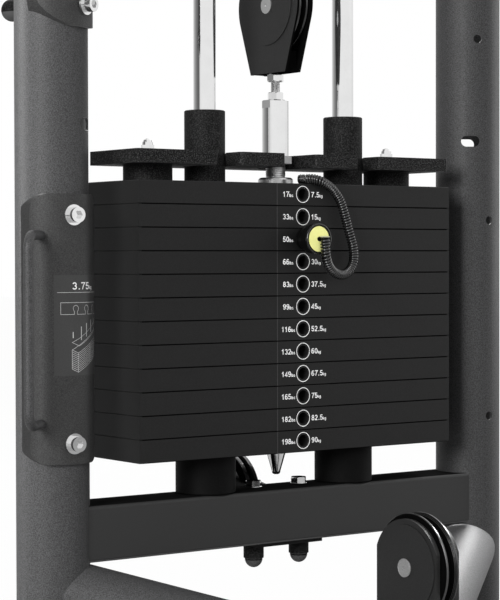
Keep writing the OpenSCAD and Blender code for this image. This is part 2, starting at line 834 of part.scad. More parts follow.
function hermite(p0, p1, m0, m1, t) =
    (2 * t * t * t - 3 * t * t + 1) * p0 + (t * t * t - 2 * t * t + t) * m0
    + (3 * t * t - 2 * t * t * t) * p1 + (t * t * t - t * t) * m1;

function route_slope(i) =
    i == 0 ? lanyard_route[1] - lanyard_route[0]
    : i == route_last ? lanyard_route[i] - lanyard_route[i - 1]
    : (lanyard_route[i + 1] - lanyard_route[i - 1]) / 2;

function route_at(u) =
    let (i = min(floor(u), route_last - 1), t = u - i)
    hermite(lanyard_route[i], lanyard_route[i + 1], route_slope(i), route_slope(i + 1), t);

fine = 20;
fine_points = [for (k = [0 : route_last * fine]) route_at(k / fine)];
fine_last = route_last * fine;
fine_steps = [for (k = [0 : fine_last - 1]) norm(fine_points[k + 1] - fine_points[k])];
fine_lengths = [for (k = 0, s = 0; k <= fine_last; s = s + (k < fine_last ? fine_steps[k] : 0), k = k + 1) s];
route_len = fine_lengths[fine_last];

function unit(v) = v / norm(v);

function find_fine(s, lo, hi) =
    hi - lo <= 1 ? lo : let (mid = floor((lo + hi) / 2))
    fine_lengths[mid] <= s ? find_fine(s, mid, hi) : find_fine(s, lo, mid);

function route_point(s) =
    let (k = find_fine(s, 0, fine_last), f = (s - fine_lengths[k]) / fine_steps[k])
    fine_points[k] + f * (fine_points[k + 1] - fine_points[k]);

look = 0.6;
function route_dir(s) = unit(route_point(min(route_len, s + look)) - route_point(max(0, s - look)));

// Distance along the route, turn and coil radius of ring i: full width from the start under the cap,
// drawn in over the last curl and straight for one cord diameter where it enters the sleeve
lead = cord_d;
coil_len = route_len - lead;
coil_r = (curl_d - cord_d) / 2;

function ring_s(i) =
    i > curls * curl_rings ? route_len - lead * (ring_count - i) / lead_rings
    : coil_len * i / (curls * curl_rings);

function ring_turn(i) = 360 * i / curl_rings;

function ring_radius(i) =
    let (k = (curls * curl_rings - i) / curl_rings)
    k <= 0 ? 0 : k >= 1 ? coil_r : coil_r * (3 * k * k - 2 * k * k * k);

// Direction from the route to the cord at ring i
function ring_out(i) =
    let (t = route_dir(ring_s(i)), side = unit(cross(t, [0, 1, 0])), up = cross(side, t), a = ring_turn(i))
    cos(a) * up + sin(a) * side;

function coil_point(i) = route_point(ring_s(i)) + ring_radius(i) * ring_out(i);

coil_points = [for (i = [0 : ring_count]) coil_point(i)];

function ring_dir(i) =
    unit(coil_points[min(i + 1, ring_count)] - coil_points[max(i - 1, 0)]);

function cord_ring(i) =
    let (t = i == ring_count ? route_dir(ring_s(i)) : ring_dir(i), out = ring_out(i),
         e1 = unit(out - (out * t) * t), e2 = cross(t, e1))
    [for (j = [0 : cord_sides - 1])
        coil_points[i] + cord_d / 2 * (cos(360 * j / cord_sides) * e1 + sin(360 * j / cord_sides) * e2)];

cord_points = [for (i = [0 : ring_count]) each cord_ring(i)];
cord_faces = concat(
    [for (i = [0 : ring_count - 1], j = [0 : cord_sides - 1])
        let (a = i * cord_sides + j, b = i * cord_sides + (j + 1) % cord_sides)
        each [[a, a + cord_sides, b], [b, a + cord_sides, b + cord_sides]]],
    [for (j = [1 : cord_sides - 2]) [0, j, j + 1]],
    [for (j = [1 : cord_sides - 2])
        let (e = ring_count * cord_sides) [e, e + j + 1, e + j]]);

// Least distance between the cord's surface and itself, on points, and the cord's own length
near = 6;
far = 5 * curl_rings;
cord_gap = min([for (i = [0 : ring_count - near], j = [i + near : min(i + far, ring_count)])
    norm(coil_points[i] - coil_points[j])]) - cord_d;
ones = [for (i = [1 : ring_count]) 1];
cord_len = ones * [for (i = [1 : ring_count]) norm(coil_points[i] - coil_points[i - 1])];
echo(least_gap_of_the_lanyard_to_itself = cord_gap, cord_length = cord_len, route_length = route_len);  // lanyard

module lanyard() {
    color(rubber) polyhedron(cord_points, cord_faces);
}

// Add-on weight

module flare(r) {
    difference() {
        square([r, r]);
        translate([r, r]) circle(r, $fn = small_fn);
    }
}

module flared_slot(w, depth) {
    translate([-w / 2, -plate_d / 2 - cut]) square([w, depth + cut]);
    for (side = [-1, 1]) translate([side * w / 2, -plate_d / 2]) mirror([side < 0 ? 1 : 0, 0])
        flare(flare_r);
}

module add_on_outline() {
    difference() {
        rounded(plate_w, plate_d - 4, 3);
        flared_slot(middle_slot_w, plate_d / 2);
        circle(d = middle_slot_w, $fn = round_fn);
        for (side = [-1, 1]) translate([side * rod_x, 0]) {
            flared_slot(neck_w, plate_d / 2);
            circle(sleeve_d / 2 + bulb_gap, $fn = round_fn);
        }
    }
}

module add_on_plate() {
    color(black) translate([0, 0, add_z]) difference() {
        linear_extrude(add_t) add_on_outline();
        for (side = [-1, 1]) translate([side * pad_x, pad_back, -cut])
            cylinder(d = dome_stud_d + 2 * touch, h = add_t + 2 * cut, $fn = small_fn);
    }
}

module add_on_pads() {
    color(rubber) for (side = [-1, 1]) translate([side * pad_x, pad_back, stack_top])
        rotate_extrude($fn = round_fn)
            polygon([[0, 0], [pad_d / 2 - 1.5, 0], [pad_d / 2, 1.5], [pad_d / 2, pad_h], [0, pad_h]]);
}

module add_on_nuts() {
    nut_h = 7;
    r = dome_nut_af / 2;
    color(chrome) for (side = [-1, 1]) translate([side * pad_x, pad_back, add_top]) {
        rotate([0, 0, 10]) hexagon(dome_nut_af, nut_h);
        translate([0, 0, nut_h]) rotate_extrude($fn = small_fn)
            polygon([[0, 0], [r - 0.4, 0], [r - 0.6, 3], [r - 1.8, 5.6], [r - 3.8, 7.4], [0, 8.2]]);
        translate([0, 0, -add_t]) cylinder(d = dome_stud_d, h = add_t, $fn = small_fn);
    }
}

// Front pulley on the post

module front_cheek_outline() {
    low = front_z - front_cheek_z;
    intersection() {
        union() {
            circle(front_cheek_r, $fn = round_fn);
            translate([-front_cheek_r, -low]) square([2 * front_cheek_r, low]);
        }
        translate([-front_cheek_half, -low]) square([2 * front_cheek_half, low + 2 * front_cheek_r]);
    }
}

module front_cheeks() {
    color(black) translate([0, -front_y, front_z]) for (side = [-1, 1]) difference() {
        union() {
            along_x(side < 0 ? -front_half : front_half - front_cheek_t)
                linear_extrude(front_cheek_t) front_cheek_outline();
            raised_disc(side, front_half);
        }
        along_x(-2 * front_half) cylinder(d = axle_d + 2 * touch, h = 4 * front_half, $fn = small_fn);
        for (y = post_bolt_y) translate([-2 * front_half, y + front_y, post_bolt_z - front_z])
            rotate([0, 90, 0]) cylinder(d = post_bolt_d + slide_gap, h = 4 * front_half, $fn = small_fn);
    }
}

module front_sheave() {
    color(black) translate([0, -front_y, front_z]) sheave(front_sheave_d, sheave_w, front_groove_w);
}

module front_bolts() {
    for (y = post_bolt_y) translate([0, y, post_bolt_z]) {
        along_x(-front_half) cylinder(d = post_bolt_d, h = 2 * front_half, $fn = small_fn);
        for (side = [-1, 1]) along_x(side < 0 ? -front_half - post_bolt_head : front_half)
            hexagon(post_bolt_af, post_bolt_head);
    }
}

// Rear pulley on its bracket

module rear_cheek_outline() {
    boss = 26;
    near = beam_half + slide_gap - rear_y;
    low = beam_low_z - rear_base_t - rear_z;
    foot_l = 22;
    top_up = 16;
    foot = [near + foot_l, low];
    top = [near, top_up];
    t = tangent_point(foot, boss);
    u = tangent_point([top[0], -top[1]], boss);
    difference() {
        union() {
            circle(boss, $fn = round_fn);
            polygon([[near, low], foot, t, [u[0], -u[1]], top]);
        }
        circle(d = axle_d + 2 * touch, $fn = small_fn);
    }
}

module rear_bracket() {
    front = -beam_half + 4;
    back = beam_half + 8;
    color(charcoal) difference() {
        union() {
            translate([-rear_base_w / 2, front, beam_low_z - rear_base_t])
                cube([rear_base_w, back - front, rear_base_t]);
            for (side = [-1, 1]) translate([0, rear_y, rear_z])
                along_x(side < 0 ? -rear_half : rear_half - rear_cheek_t)
                    linear_extrude(rear_cheek_t) rear_cheek_outline();
        }
        for (side = [-1, 1]) translate([side * bolt_x, 0, beam_low_z - beam_s])
            cylinder(d = beam_bolt_d + 2 * slide_gap, h = 2 * beam_s, $fn = small_fn);
        translate([-sheave_w / 2 - side_gap, 0, 0]) translate([0, rear_y, rear_z])
            along_x(0) cylinder(d = sheave_d + 4, h = sheave_w + 2 * side_gap, $fn = round_fn);
    }
}

module rear_sheave() {
    color(black) translate([0, rear_y, rear_z]) sheave(sheave_d, sheave_w);
}

module beam_bolts() {
    head = 7;
    bolt_turn = 45;
    for (side = [-1, 1]) translate([side * bolt_x, 0, 0]) {
        translate([0, 0, beam_low_z - rear_base_t - cover_hold])
            cylinder(d = beam_bolt_d, h = beam_s + rear_base_t + cover_hold, $fn = small_fn);
        translate([0, 0, beam_top_z]) cylinder(d = 1.9 * beam_bolt_d, h = washer_t, $fn = round_fn);
        translate([0, 0, beam_top_z + washer_t]) intersection() {
            rotate([0, 0, bolt_turn]) hexagon(1.6 * beam_bolt_d, head);
            cylinder(d1 = 3 * beam_bolt_d, d2 = 1.7 * beam_bolt_d, h = head, $fn = small_fn);
        }
    }
}

module hex_bolts() {
    color(chrome) {
        beam_bolts();
        front_bolts();
    }
}

module beam_nut_covers() {
    r = cover_d / 2;
    rim = 15.6;
    dome = [for (a = [0 : 10 : 90]) [(r - 1.4) * cos(a), -rim - (r - 1) * sin(a)]];
    for (side = [-1, 1]) translate([side * bolt_x, 0, beam_low_z - rear_base_t]) difference() {
        rotate_extrude($fn = round_fn)
            polygon(concat([[0, 0], [r, 0], [r, 0.8 - rim], [r - 1.2, 0.4 - rim]], dome));
        translate([0, 0, -cover_hold - touch])
            cylinder(d = beam_bolt_d + 2 * touch, h = cover_hold + cut, $fn = small_fn);
    }
}

module clamp_nut_cover() {
    foot = 3;
    translate([-upright_x, 0, clamp_z]) rotate([0, 0, clamp_turn]) rotate([-90, 0, 0]) difference() {
        union() {
            translate([0, 0, upright_r + ball_out]) sphere(r = ball_r, $fn = 64);
            translate([0, 0, upright_r - foot]) cylinder(r = ball_r, h = ball_out + foot, $fn = 64);
        }
        rotate([90, 0, 0]) translate([0, 0, -2 * ball_r])
            cylinder(d = upright_d, h = 4 * ball_r, $fn = round_fn);
        cylinder(d = screw_d + 2 * touch, h = upright_r + cover_hold + touch, $fn = small_fn);
    }
}

module nut_covers() {
    color(rubber) {
        beam_nut_covers();
        clamp_nut_cover();
    }
}

// Top pulleys under the upper beam, and the axles of all fixed pulleys

module top_cheek_outline() {
    boss = 24;
    reach = top_spacing / 2;
    ear = 20;
    corner = [beam_half + ear, upper_beam_z - top_z];
    mirrored = tangent_point([corner[0] - reach, -corner[1]], boss);
    t = [reach + mirrored[0], -mirrored[1]];
    difference() {
        union() {
            for (y = [-1, 1]) translate([y * reach, 0]) circle(boss, $fn = round_fn);
            polygon([[-reach, -boss], [reach, -boss], t, corner, [-corner[0], corner[1]], [-t[0], t[1]]]);
        }
        for (y = [-1, 1]) translate([y * reach, 0]) circle(d = axle_d + 2 * touch, $fn = small_fn);
    }
}

module top_bracket() {
    color(charcoal) for (side = [-1, 1]) translate([0, 0, top_z])
        along_x(side < 0 ? -top_half : top_half - top_cheek_t) linear_extrude(top_cheek_t)
            top_cheek_outline();
}

module pulley_axles() {
    color(chrome) {
        translate([0, -front_y, front_z]) axle(front_half + ring_proud);
        translate([0, rear_y, rear_z]) axle(rear_half);
        for (y = [-1, 1]) translate([0, y * top_spacing / 2, top_z]) axle(top_half);
    }
}

module top_sheave(side) {
    color(black) translate([0, side * top_spacing / 2, top_z]) sheave(sheave_d, sheave_w);
}

// Saddle plates, handle and accessory bolts on the left upright

module saddle(turn, low, h, half, r) {
    w = 2 * saddle_out * sin(half);
    translate([-upright_x, 0, 0]) rotate([0, 0, turn]) intersection() {
        difference() {
            translate([0, 0, low - cut]) cylinder(r = saddle_out, h = h + 2 * cut, $fn = round_fn);
            translate([0, 0, low - 2 * cut]) cylinder(r = upright_r, h = h + 4 * cut, $fn = round_fn);
        }
        translate([0, 0, low + h / 2]) rotate([90, 0, 0]) linear_extrude(2 * saddle_out) rounded(w, h, r);
    }
}

module saddle_plate() {
    color(charcoal) difference() {
        saddle(0, saddle_z, saddle_h, saddle_half, saddle_r);
        translate([-upright_x, 0, 0]) accessory_holes();
    }
}

module clamp_saddle() {
    color(charcoal) difference() {
        saddle(clamp_turn, clamp_z - clamp_drop, clamp_h, clamp_half, clamp_r);
        translate([-upright_x, 0, clamp_z]) rotate([0, 0, clamp_turn]) rotate([90, 0, 0])
            cylinder(d = hole_d, h = upright_d, $fn = small_fn);
    }
}

module saddle_handle() {
    half = handle_l / 2;
    straight = half - handle_bend;
    color(charcoal) translate([-upright_x, 0, handle_z]) rotate([0, 0, -handle_turn]) difference() {
        union() {
            translate([0, -handle_reach, -straight]) cylinder(d = handle_d, h = 2 * straight, $fn = small_fn);
            for (side = [-1, 1]) {
                translate([0, -handle_reach + handle_bend, side * half]) rotate([-90, 0, 0])
                    cylinder(d = handle_d, h = handle_reach - handle_bend - upright_r, $fn = small_fn);
                translate([0, -handle_reach + handle_bend, side * straight])
                    rotate([0, 90, 0]) rotate([0, 0, side > 0 ? 180 : -90])
                        rotate_extrude(angle = 90, $fn = round_fn)
                            translate([handle_bend, 0]) circle(d = handle_d, $fn = small_fn);
            }
        }
        translate([0, 0, -handle_l]) cylinder(r = saddle_out, h = 2 * handle_l, $fn = round_fn);
    }
}

module cap_screw(seat, depth) {
    socket_af = head_d / 2;
    socket_h = 5;
    translate([0, 0, seat - depth]) cylinder(d = screw_d, h = depth + washer_t + cut, $fn = small_fn);
    translate([0, 0, seat]) cylinder(d = washer_d, h = washer_t, $fn = round_fn);
    translate([0, 0, seat + washer_t]) difference() {
        cylinder(d = head_d, h = head_h, $fn = small_fn);
        translate([0, 0, head_h - socket_h]) hexagon(socket_af, socket_h + cut);
    }
}

module cap_screws() {
    color(chrome) translate([-upright_x, 0, 0]) {
        for (z = [hole_low_z, hole_low_z + hole_pitch])
            translate([0, 0, z]) rotate([90, 0, 0]) cap_screw(saddle_out, screw_hold);
        translate([0, 0, clamp_z]) rotate([0, 0, clamp_turn]) rotate([90, 0, 0])
            cap_screw(saddle_out, saddle_out + upright_r + cover_hold);
    }
}

upright(-1);  // left_upright
upright(1);  // right_upright
upright_caps();
foot_plate(-1);  // left_foot_plate
foot_plate(1);  // right_foot_plate
front_foot_plate();
lower_beam();
upper_beam();
leg(-1);  // left_leg
leg(1);  // right_leg
front_post();
guide_rods();
rod_collars();
bumpers();
stack_plate(1);  // plate_01
stack_plate(2);  // plate_02
stack_plate(3);  // plate_03
stack_plate(4);  // plate_04
stack_plate(5);  // plate_05
stack_plate(6);  // plate_06
stack_plate(7);  // plate_07
stack_plate(8);  // plate_08
stack_plate(9);  // plate_09
stack_plate(10);  // plate_10
stack_plate(11);  // plate_11
stack_plate(12);  // plate_12
bushes(1, lifted_count);  // lifted_bushes
bushes(lifted_count + 1, plate_count);  // resting_bushes
selector_stem();
stem_nuts();
stem_coupling();
block_stud();
guide_sleeves();
lanyard_anchor();
block_cheeks();
block_spacer();
block_sheave();
block_axle();
selector_pin();
pin_knob();
pin_disc();
lanyard();
add_on_plate();
add_on_pads();
add_on_nuts();
front_cheeks();
front_sheave();
rear_bracket();
rear_sheave();
pulley_axles();
hex_bolts();
nut_covers();
top_bracket();
top_sheave(-1);  // top_front_sheave
top_sheave(1);  // top_rear_sheave
saddle_plate();
saddle_handle();
cap_screws();
clamp_saddle();
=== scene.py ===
"""Looks of the cable column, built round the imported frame. Lengths are metres in the part's own frame."""

import json
import math

import bmesh
import bpy
import numpy as np
from mathutils import Matrix, Vector


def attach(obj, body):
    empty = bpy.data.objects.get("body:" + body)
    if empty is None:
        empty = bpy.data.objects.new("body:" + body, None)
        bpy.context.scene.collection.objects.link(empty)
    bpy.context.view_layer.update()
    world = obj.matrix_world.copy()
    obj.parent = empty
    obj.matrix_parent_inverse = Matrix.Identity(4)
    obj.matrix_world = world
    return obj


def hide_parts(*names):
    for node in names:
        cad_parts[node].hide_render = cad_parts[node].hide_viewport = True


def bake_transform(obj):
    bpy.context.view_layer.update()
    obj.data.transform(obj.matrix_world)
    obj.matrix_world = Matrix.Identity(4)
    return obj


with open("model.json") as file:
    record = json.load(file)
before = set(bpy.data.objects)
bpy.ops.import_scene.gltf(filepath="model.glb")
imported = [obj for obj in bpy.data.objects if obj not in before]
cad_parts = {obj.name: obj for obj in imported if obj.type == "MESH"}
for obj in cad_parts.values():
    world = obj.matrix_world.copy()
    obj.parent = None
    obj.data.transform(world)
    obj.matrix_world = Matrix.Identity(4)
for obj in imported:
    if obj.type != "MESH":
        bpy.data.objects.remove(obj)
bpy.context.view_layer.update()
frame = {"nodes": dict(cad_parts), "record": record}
nodes = frame["nodes"]
MM = 0.001

# Sizes of the object that the pieces here fit
UPRIGHT_X = 293.2 * MM
SADDLE_R = 43.75 * MM
PLATE_COUNT = 12
LIFTED_COUNT = 3
PLATE_T = 25 * MM
PLATE_FRONT = -50.7 * MM
STACK_TOP = 575 * MM
SELECT_RISE = 0.4 * MM
STEM_R = 10.8 * MM
STUD_R = 4.8 * MM
PLATE_MASS = 7.5
POUNDS_PER_KG = 2.2046
FRONT_AXLE = Vector((0, -245, 171)) * MM
REAR_AXLE = Vector((0, 94, 213)) * MM
FRONT_CHEEK_FACE = -18 * MM
KNOB_FACE = -80.2 * MM
PIN_Z = 512.9 * MM
STEM_END_Z = 246 * MM

# Camera, from the fit to the photograph: degrees, metres, and millimetres for lens and sensor
CAMERA_TURN = (36.02, 1.241, -0.1328)
CAMERA_PLACE = (-1.3440, -1.7986, 0.4929)
CAMERA_LENS = 118.44
CAMERA_SENSOR = 36
CAMERA_REACH = (0.1, 60)


def make_camera():
    yaw, pitch, roll = (math.radians(angle) for angle in CAMERA_TURN)
    forward = Vector((math.sin(yaw) * math.cos(pitch), math.cos(yaw) * math.cos(pitch), -math.sin(pitch)))
    level = Vector((math.cos(yaw), -math.sin(yaw), 0))
    above = level.cross(forward)
    right = math.cos(roll) * level + math.sin(roll) * above
    up = -math.sin(roll) * level + math.cos(roll) * above
    camera = bpy.data.objects.new("camera", bpy.data.cameras.new("camera"))
    bpy.context.scene.collection.objects.link(camera)
    camera.matrix_world = Matrix((right, up, -forward)).transposed().to_4x4()
    camera.location = CAMERA_PLACE
    camera.data.lens = CAMERA_LENS
    camera.data.sensor_width = CAMERA_SENSOR
    camera.data.clip_start, camera.data.clip_end = CAMERA_REACH
    bpy.context.scene.camera = camera


make_camera()


# Mesh helpers

def add_object(name, mesh, body, material=None, smooth=True):
    obj = bpy.data.objects.new(name, mesh)
    bpy.context.scene.collection.objects.link(obj)
    if smooth:
        mesh.shade_smooth()
    if material:
        mesh.materials.append(material)
    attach(obj, body)
    return obj


def mesh_from(name, points, faces):
    mesh = bpy.data.meshes.new(name)
    mesh.from_pydata([tuple(p) for p in points], [], faces)
    mesh.update()
    return mesh


def grid_faces(rows, columns, closed=True):
    """Quads over a grid of points, rows one after another, whose columns close on themselves."""
    wrap = columns if closed else columns - 1
    return [(r * columns + c, r * columns + (c + 1) % columns,
             (r + 1) * columns + (c + 1) % columns, (r + 1) * columns + c)
            for r in range(rows - 1) for c in range(wrap)]


def end_faces(rows, columns):
    """The faces that close both ends of such a grid."""
    last = (rows - 1) * columns
    return [tuple(reversed(range(columns))), tuple(range(last, last + columns))]


def joined(name, parts):
    """One mesh from several (mesh, matrix) pairs."""
    bm = bmesh.new()
    for mesh, matrix in parts:
        start = len(bm.verts)
        bm.from_mesh(mesh)
        bm.verts.ensure_lookup_table()
        for v in bm.verts[start:]:
            v.co = matrix @ v.co
    made = bpy.data.meshes.new(name)
    bm.to_mesh(made)
    bm.free()
    return made


def mesh_of_curve(curve):
    """The mesh of a curve or text, which is then dropped."""
    obj = bpy.data.objects.new("shape", curve)
    bpy.context.scene.collection.objects.link(obj)
    bpy.context.view_layer.update()
    mesh = bpy.data.meshes.new_from_object(obj.evaluated_get(bpy.context.evaluated_depsgraph_get()))
    bpy.data.objects.remove(obj)
    return mesh


def flat_shape(outlines, thickness):
    """A thin plate in XY from closed outlines. An outline inside another is a hole."""
    curve = bpy.data.curves.new("shape", "CURVE")
    curve.dimensions = "2D"
    curve.fill_mode = "BOTH"
    curve.extrude = thickness / 2
    for points in outlines:
        spline = curve.splines.new("POLY")
        spline.points.add(len(points) - 1)
        spline.use_cyclic_u = True
        for p, (x, y) in zip(spline.points, points):
            p.co = (x, y, 0, 1)
    return mesh_of_curve(curve)


def in_mm(pairs):
    return [(a * MM, b * MM) for a, b in pairs]


def around(r, k, count):
    """Point k of count on a circle of radius r."""
    turn = 2 * math.pi * k / count
    return r * math.cos(turn), r * math.sin(turn)


def circle(r, count=64, y=0.0):
    return [(px, y + py) for px, py in (around(r, k, count) for k in range(count))]


def rounded_box(x0, x1, y0, y1, r):
    steps = 6
    corners = [(x1 - r, y1 - r, 0), (x0 + r, y1 - r, 90), (x0 + r, y0 + r, 180), (x1 - r, y0 + r, 270)]
    points = []
    for cx, cy, start in corners:
        for k in range(steps + 1):
            a = math.radians(start + 90 * k / steps)
            points.append((cx + r * math.cos(a), cy + r * math.sin(a)))
    return points


def arc(x, y, rx, ry, start, end, steps=14):
    return [(x + rx * math.cos(math.radians(start + (end - start) * k / steps)),
             y + ry * math.sin(math.radians(start + (end - start) * k / steps))) for k in range(steps + 1)]


# Plain figures and unit letters as strokes, one unit high, with the room that each takes
GLYPHS = {
    "0": (0.78, [arc(0.36, 0.5, 0.25, 0.43, 0, 360, 24)]),
    "1": (0.78, [[(0.12, 0.72), (0.28, 0.77), (0.38, 0.93)], [(0.40, 1.0), (0.40, 0.0)]]),
    "2": (0.78, [arc(0.36, 0.68, 0.24, 0.25, 165, -40) + [(0.10, 0.07)], [(0.04, 0.07), (0.66, 0.07)]]),
    "3": (0.78, [arc(0.36, 0.715, 0.22, 0.215, 160, -88), arc(0.36, 0.285, 0.25, 0.215, 88, -160)]),
    "4": (0.78, [[(0.50, 0.0), (0.50, 0.90), (0.06, 0.28), (0.70, 0.28)]]),
    "5": (0.78, [[(0.62, 0.93), (0.20, 0.93), (0.13, 0.46)], arc(0.35, 0.32, 0.26, 0.25, 135, -160)]),
    "6": (0.78, [arc(0.36, 0.31, 0.25, 0.24, 0, 360, 24), arc(0.40, 0.50, 0.29, 0.43, 190, 50)]),
    "7": (0.78, [[(0.05, 0.93), (0.66, 0.93), (0.46, 0.62), (0.33, 0.32), (0.27, 0.0)]]),
    "8": (0.78, [arc(0.36, 0.73, 0.20, 0.20, 0, 360, 24), arc(0.36, 0.29, 0.25, 0.22, 0, 360, 24)]),
    "9": (0.78, [arc(0.36, 0.69, 0.25, 0.24, 0, 360, 24), arc(0.32, 0.50, 0.29, 0.43, 10, -130)]),
    ".": (0.48, [[(0.15, 0.08), (0.33, 0.08)]]),
    "l": (0.31, [[(0.15, 0.0), (0.15, 1.0)]]),
    "b": (0.74, [[(0.11, 0.0), (0.11, 1.0)], arc(0.36, 0.36, 0.23, 0.29, 0, 360, 20)]),
    "s": (0.66, [arc(0.31, 0.53, 0.19, 0.14, 30, 262), arc(0.31, 0.20, 0.21, 0.14, 88, -150)]),
    "k": (0.68, [[(0.11, 0.0), (0.11, 1.0)], [(0.55, 0.68), (0.12, 0.28)], [(0.28, 0.42), (0.58, 0.0)]]),
    "g": (0.76, [arc(0.33, 0.38, 0.23, 0.28, 0, 360, 20), [(0.57, 0.70), (0.57, 0.0)],
                 arc(0.33, -0.04, 0.24, 0.18, 0, -150)]),
}


def strokes(lines, width, lift=0.004 * MM):
    """A flat mesh of the given lines, each a ribbon of that width a hair above the one before it."""
    points, faces = [], []
    for n, line in enumerate(lines):
        line = [Vector((x, y, n * lift)) for x, y in line]
        start = len(points)
        for i, point in enumerate(line):
            ways = [(line[j + 1] - line[j]).normalized() for j in (i - 1, i) if 0 <= j < len(line) - 1]
            if line[0] == line[-1] and i in (0, len(line) - 1):
                ways = [(line[1] - line[0]).normalized(), (line[-1] - line[-2]).normalized()]
            way = sum(ways, Vector()).normalized()
            side = Vector((-way.y, way.x, 0)) * (width / 2 / max(way.dot(ways[0]), 0.5))
            points += [point + side, point - side]
        faces += [(start + 2 * i, start + 2 * i + 1, start + 2 * i + 3, start + 2 * i + 2)
                  for i in range(len(line) - 1)]
    return mesh_from("strokes", points, faces)


def written(text, height, weight, width_scale=1.0):
    """A line of figures from X 0 on, and its width. weight is the stroke's share of the height."""
    lines, x = [], 0.0
    for letter in text:
        room, shapes = GLYPHS[letter]
        lines += [[((x + px) * height * width_scale, py * height) for px, py in shape] for shape in shapes]
        x += room
    return strokes(lines, weight * height), (x - 0.08) * height * width_scale


# Turns a shape drawn in XY to face the front, with its up along Z
FACE_FRONT = Matrix.Rotation(math.radians(90), 4, "X")


# Materials

def new_material(name):
    material = bpy.data.materials.new(name)
    material.use_nodes = True
    return material, material.node_tree.nodes, material.node_tree.links


def noise(tree_nodes, links, coords, scale, detail=2.0, rough=0.5):
    node = tree_nodes.new("ShaderNodeTexNoise")
    node.inputs["Scale"].default_value = scale
    node.inputs["Detail"].default_value = detail
    node.inputs["Roughness"].default_value = rough
    links.new(coords, node.inputs["Vector"])
    return node.outputs["Fac"]


def ramp(tree_nodes, links, value, stops):
    node = tree_nodes.new("ShaderNodeValToRGB")
    elements = node.color_ramp.elements
    while len(elements) < len(stops):
        elements.new(0.5)
    for element, (place, colour) in zip(elements, stops):
        element.position = place
        element.color = (*colour, 1) if hasattr(colour, "__len__") else (colour, colour, colour, 1)
    links.new(value, node.inputs["Fac"])
    return node.outputs["Color"]


def math_node(tree_nodes, links, kind, *values):
    """A Math node over sockets and numbers."""
    node = tree_nodes.new("ShaderNodeMath")
    node.operation = kind
    for socket, value in zip(node.inputs, values):
        if hasattr(value, "default_value"):
            links.new(value, socket)
        else:
            socket.default_value = value
    return node.outputs[0]


def bump(tree_nodes, links, height, distance, normal=None):
    node = tree_nodes.new("ShaderNodeBump")
    node.inputs["Strength"].default_value = 1.0
    node.inputs["Distance"].default_value = distance
    links.new(height, node.inputs["Height"])
    if normal:
        links.new(normal, node.inputs["Normal"])
    return node.outputs["Normal"]


# Scale per metre of the noise that varies the roughness
BROAD_NOISE = 9.0


def finish_material(name, dark, light, grain, relief, roughness, metallic=0.0, specular=0.5,
                    spread=(0.36, 0.64), coarse=None):
    """A grained finish. dark and light are the colours of its grain, as a grey or as red, green and blue;
    grain is the noise scale per metre, spread where the noise turns dark and light, relief the bump height in
    metres, roughness its lowest and highest value, and coarse the scale and height of a larger bump."""
    material, tree_nodes, links = new_material(name)
    shader = tree_nodes["Principled BSDF"]
    coords = tree_nodes.new("ShaderNodeTexCoord").outputs["Object"]
    fine = noise(tree_nodes, links, coords, grain, 3.0, 0.6)
    broad = noise(tree_nodes, links, coords, BROAD_NOISE, 2.0)
    colour = ramp(tree_nodes, links, fine, [(spread[0], dark), (spread[1], light)])
    links.new(colour, shader.inputs["Base Color"])
    worn = ramp(tree_nodes, links, broad, [(0.3, roughness[0]), (0.7, roughness[1])])
    links.new(worn, shader.inputs["Roughness"])
    normal = bump(tree_nodes, links, fine, relief)
    if coarse:
        scale, height = coarse
        normal = bump(tree_nodes, links, noise(tree_nodes, links, coords, scale, 2.0), height, normal)
    links.new(normal, shader.inputs["Normal"])
    shader.inputs["Metallic"].default_value = metallic
    shader.inputs["Specular IOR Level"].default_value = specular
    return material


# The finish of each material slot of the record
MATERIALS = {name: finish_material(name, *row, **options) for name, row, options in [
    ("charcoal_coat", (0.022, (0.076, 0.076, 0.078), 900, 5e-5, (0.50, 0.58)), {"specular": 0.33}),
    ("plate_black", (0.006, 0.010, 900, 1.2e-5, (0.48, 0.55)), {"specular": 0.22}),
    ("add_on_black", (0.001, 0.052, 700, 2e-4, (0.50, 0.62)),
     {"specular": 0.12, "coarse": (240, 1e-4), "spread": (0.50, 0.61)}),
    ("black_coat", (0.012, 0.020, 700, 3e-5, (0.42, 0.50)), {"specular": 0.32}),
    ("bright_chrome", (0.78, 0.81, 60, 6e-7, (0.05, 0.09)), {"metallic": 1.0}),
    ("black_rubber", (0.003, 0.032, 740, 1.1e-4, (0.60, 0.70)), {"specular": 0.13, "spread": (0.48, 0.62)}),
    ("black_plastic", (0.012, 0.018, 700, 1e-5, (0.30, 0.38)), {"specular": 0.4}),
    ("yellow_plastic", ((0.93, 0.93, 0.33), (0.97, 0.97, 0.38), 300, 1e-5, (0.38, 0.46)), {}),
]}
SMOOTH_CHARCOAL = finish_material("smooth_charcoal", 0.024, 0.032, 900, 8e-6, (0.50, 0.56), specular=0.25)
SADDLE_CHARCOAL = finish_material("saddle_charcoal", 0.018, 0.048, 900, 3e-5, (0.50, 0.58), specular=0.28)
STOP_RUBBER = finish_material("stop_rubber", 0.002, 0.004, 500, 2e-5, (0.55, 0.65), specular=0.07)
DULL_ZINC = finish_material("dull_zinc", 0.50, 0.62, 400, 1.2e-5, (0.24, 0.36), metallic=1.0)
PRINT_WHITE = finish_material("print_white", 0.86, 0.92, 800, 4e-6, (0.42, 0.50))
DECAL_BLACK = finish_material("decal_black", 0.007, 0.009, 500, 6e-6, (0.42, 0.48), specular=0.22)
# A grey strip at the film's left end: painted highlight on the film's edge
FILM_HIGHLIGHT_FINISH = finish_material("film_rim_highlight", 0.030, 0.036, 500, 6e-6, (0.40, 0.46))
CORD_BLACK = finish_material("cord_black", 0.003, 0.005, 900, 4e-6, (0.13, 0.17), specular=0.9)
